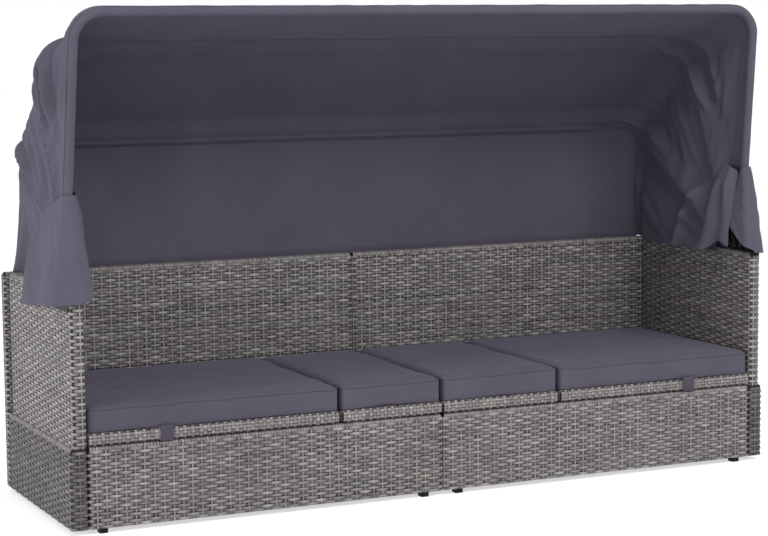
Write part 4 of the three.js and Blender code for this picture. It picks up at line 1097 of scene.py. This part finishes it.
def make_cushion(side, name, x, body, seed):
    y = (-HALF_DEPTH + 1, BOARD_REAR_Y)
    points, faces, rim, foot = cushion_body(x, y)
    points = swollen(points, faces, (CUSHION_INSET, CUSHION_INSET, CUSHION_CROWN))
    upper = smooth(points[:, 2], CUSHION_BOTTOM + 20, CUSHION_EDGE)
    points[:, 2] += upper * 1.3 * ripple(points[:, 0], points[:, 1], 220, seed)
    points[:, 2] += upper * 0.6 * ripple(points[:, 0], points[:, 1], 70, seed + 1)
    points[:, 2] = np.maximum(points[:, 2], CUSHION_BOTTOM)
    low = 1 - smooth(points[:, 2], CUSHION_BOTTOM + 1, CUSHION_BOTTOM + 14)
    points[:, 1] += FRONT_TUCK * low * (1 - smooth(points[:, 1], y[0], y[0] + 9))
    points[:, 1] += 0.9 * ripple(points[:, 0], 2.2 * points[:, 2], 110, seed + 2) * (1 - upper)
    points[:, :2] = np.clip(points[:, :2], (x[0], y[0]), (x[1], y[1]))
    mirror = -1 if side == "left" else 1
    rings = [tube_along(points[loop] + (0, 0, up), WELT_RADIUS) for loop, up in zip((rim, foot), WELT_LIFTS)]
    welts, welt_faces = joined(rings, (False, False), len(points))
    points = np.vstack([points, welts]) * (mirror, 1, 1)
    faces = np.vstack([faces, welt_faces])
    made = make_object(f"{side}_{name}_pad", points, faces, CUSHION, flip=mirror < 0)
    made.modifiers.new("weld", "WELD").merge_threshold = 0.0001
    smoother = made.modifiers.new("smoother", "SUBSURF")
    smoother.levels = 1
    smoother.render_levels = 1
    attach(made, body)
    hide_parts(f"{side}_{name}")
    return made


for side, sign, seed in (("left", -1, 81), ("right", 1, 91)):
    small = make_cushion(side, "small_cushion", (BAY_INNER_X, HINGE_X[side] - CUSHION_GAP), "bench", seed)
    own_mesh(small)
    x = (HINGE_X[side] + CUSHION_GAP, BAY_OUTER_X)
    make_cushion(side, "recliner_cushion", x, f"{side}_recliner", seed + 4)


# Straps

STRAP_X = 756
STRAP_HALF = 16.5
STRAP_THICKNESS = 1.6
STRAP_Y = (-301.4, -303.8, -304.6, -304.6, -303.6, -299, -286, -270)
STRAP_Z = (254, 248, 238, 224, 216.5, 214.6, 214.6, 215)


def make_strap(side, mirror):
    """Flat webbing from the cushion's front edge, down over the board's front and back under it."""
    outline = np.stack([STRAP_Y, STRAP_Z], axis=1)
    share = np.linspace(0, 1, 4, endpoint=False)[:, None]
    fine = [mix(here, there, share) for here, there in zip(outline, outline[1:])]
    fine = np.vstack(fine + [outline[-1:]])
    across = np.linspace(-STRAP_HALF, STRAP_HALF, 9)
    grid = np.array([[((STRAP_X + a) * mirror, y, z) for a in across] for y, z in fine])
    made = make_cloth(f"{side}_strap_webbing", grid, STRAP, STRAP_THICKNESS)
    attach(made, f"{side}_recliner")


make_strap("left", -1)
make_strap("right", 1)


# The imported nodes' materials

FINISHES = {
    # The imported woven panels take the near-black painted shade seen between the strips.
    "woven_rattan": PAINTED_SHADE_BACKING,
    "coated_steel": STEEL,
    "zinc_steel": ZINC,
    "canopy_cloth": CANOPY,
    "cushion_cloth": CUSHION,
    "foot_plastic": PLASTIC,
}

for part in frame["record"]["subparts"]:
    node = frame["nodes"].get(part["node"])
    for held in node.material_slots if node else ():
        held.link = "OBJECT"
        held.material = FINISHES[part["material_slot"]]


# Floor, sky and lamps

FLOOR_REACH = 40000
FLOOR_GLOW = 0.6
SKY = 0.5
KEY_LAMP = {"place": (0.8, -4.5, 4.2), "target": (0, 0, 0.6), "size": (3.2, 2.2), "power": 148}
SIDE_LAMP = {"place": (-5.0, -0.7, 1.3), "target": (-1, 0, 0.7), "size": (1.2, 1.2), "power": 66}


def seen_directly(n):
    """1 for what the camera sees directly, in a reflection or through glass."""
    rays = n.add("ShaderNodeLightPath").outputs
    seen = n.math("MAXIMUM", rays["Is Camera Ray"], rays["Is Glossy Ray"])
    return n.math("MAXIMUM", seen, rays["Is Transmission Ray"])


def make_stage():
    n = new_material("floor")
    n.set(Base_Color=(0.86, 0.86, 0.86, 1), Roughness=0.9, Specular_IOR_Level=0.1)
    n.set(Emission_Color=(1, 1, 1, 1), Emission_Strength=n.math("MULTIPLY", seen_directly(n), FLOOR_GLOW))
    corners = [(a * FLOOR_REACH, b * FLOOR_REACH, 0) for a, b in ((-1, -1), (1, -1), (1, 1), (-1, 1))]
    make_object("floor", corners, [(0, 1, 2, 3)], n.owner)


def make_world():
    n = Nodes(bpy.data.worlds.new("studio"))
    bpy.context.scene.world = n.owner
    background = n.tree.nodes["Background"]
    n.feed(background, Strength=n.spread(seen_directly(n), SKY, 1.0), Color=(1, 1, 1, 1))


def make_lamp(name, place, target, size, power):
    data = bpy.data.lights.new(name, "AREA")
    data.shape = "RECTANGLE"
    data.size, data.size_y = size
    data.energy = power
    lamp = add_object(name, data)
    lamp.location = place
    ahead = np.array(target, float) - np.array(place, float)
    lamp.rotation_mode = "QUATERNION"
    lamp.rotation_quaternion = Vector(ahead).to_track_quat("-Z", "Y")


make_stage()
make_world()
make_lamp("key", **KEY_LAMP)
make_lamp("side", **SIDE_LAMP)

bpy.context.scene.view_settings.view_transform = "Standard"
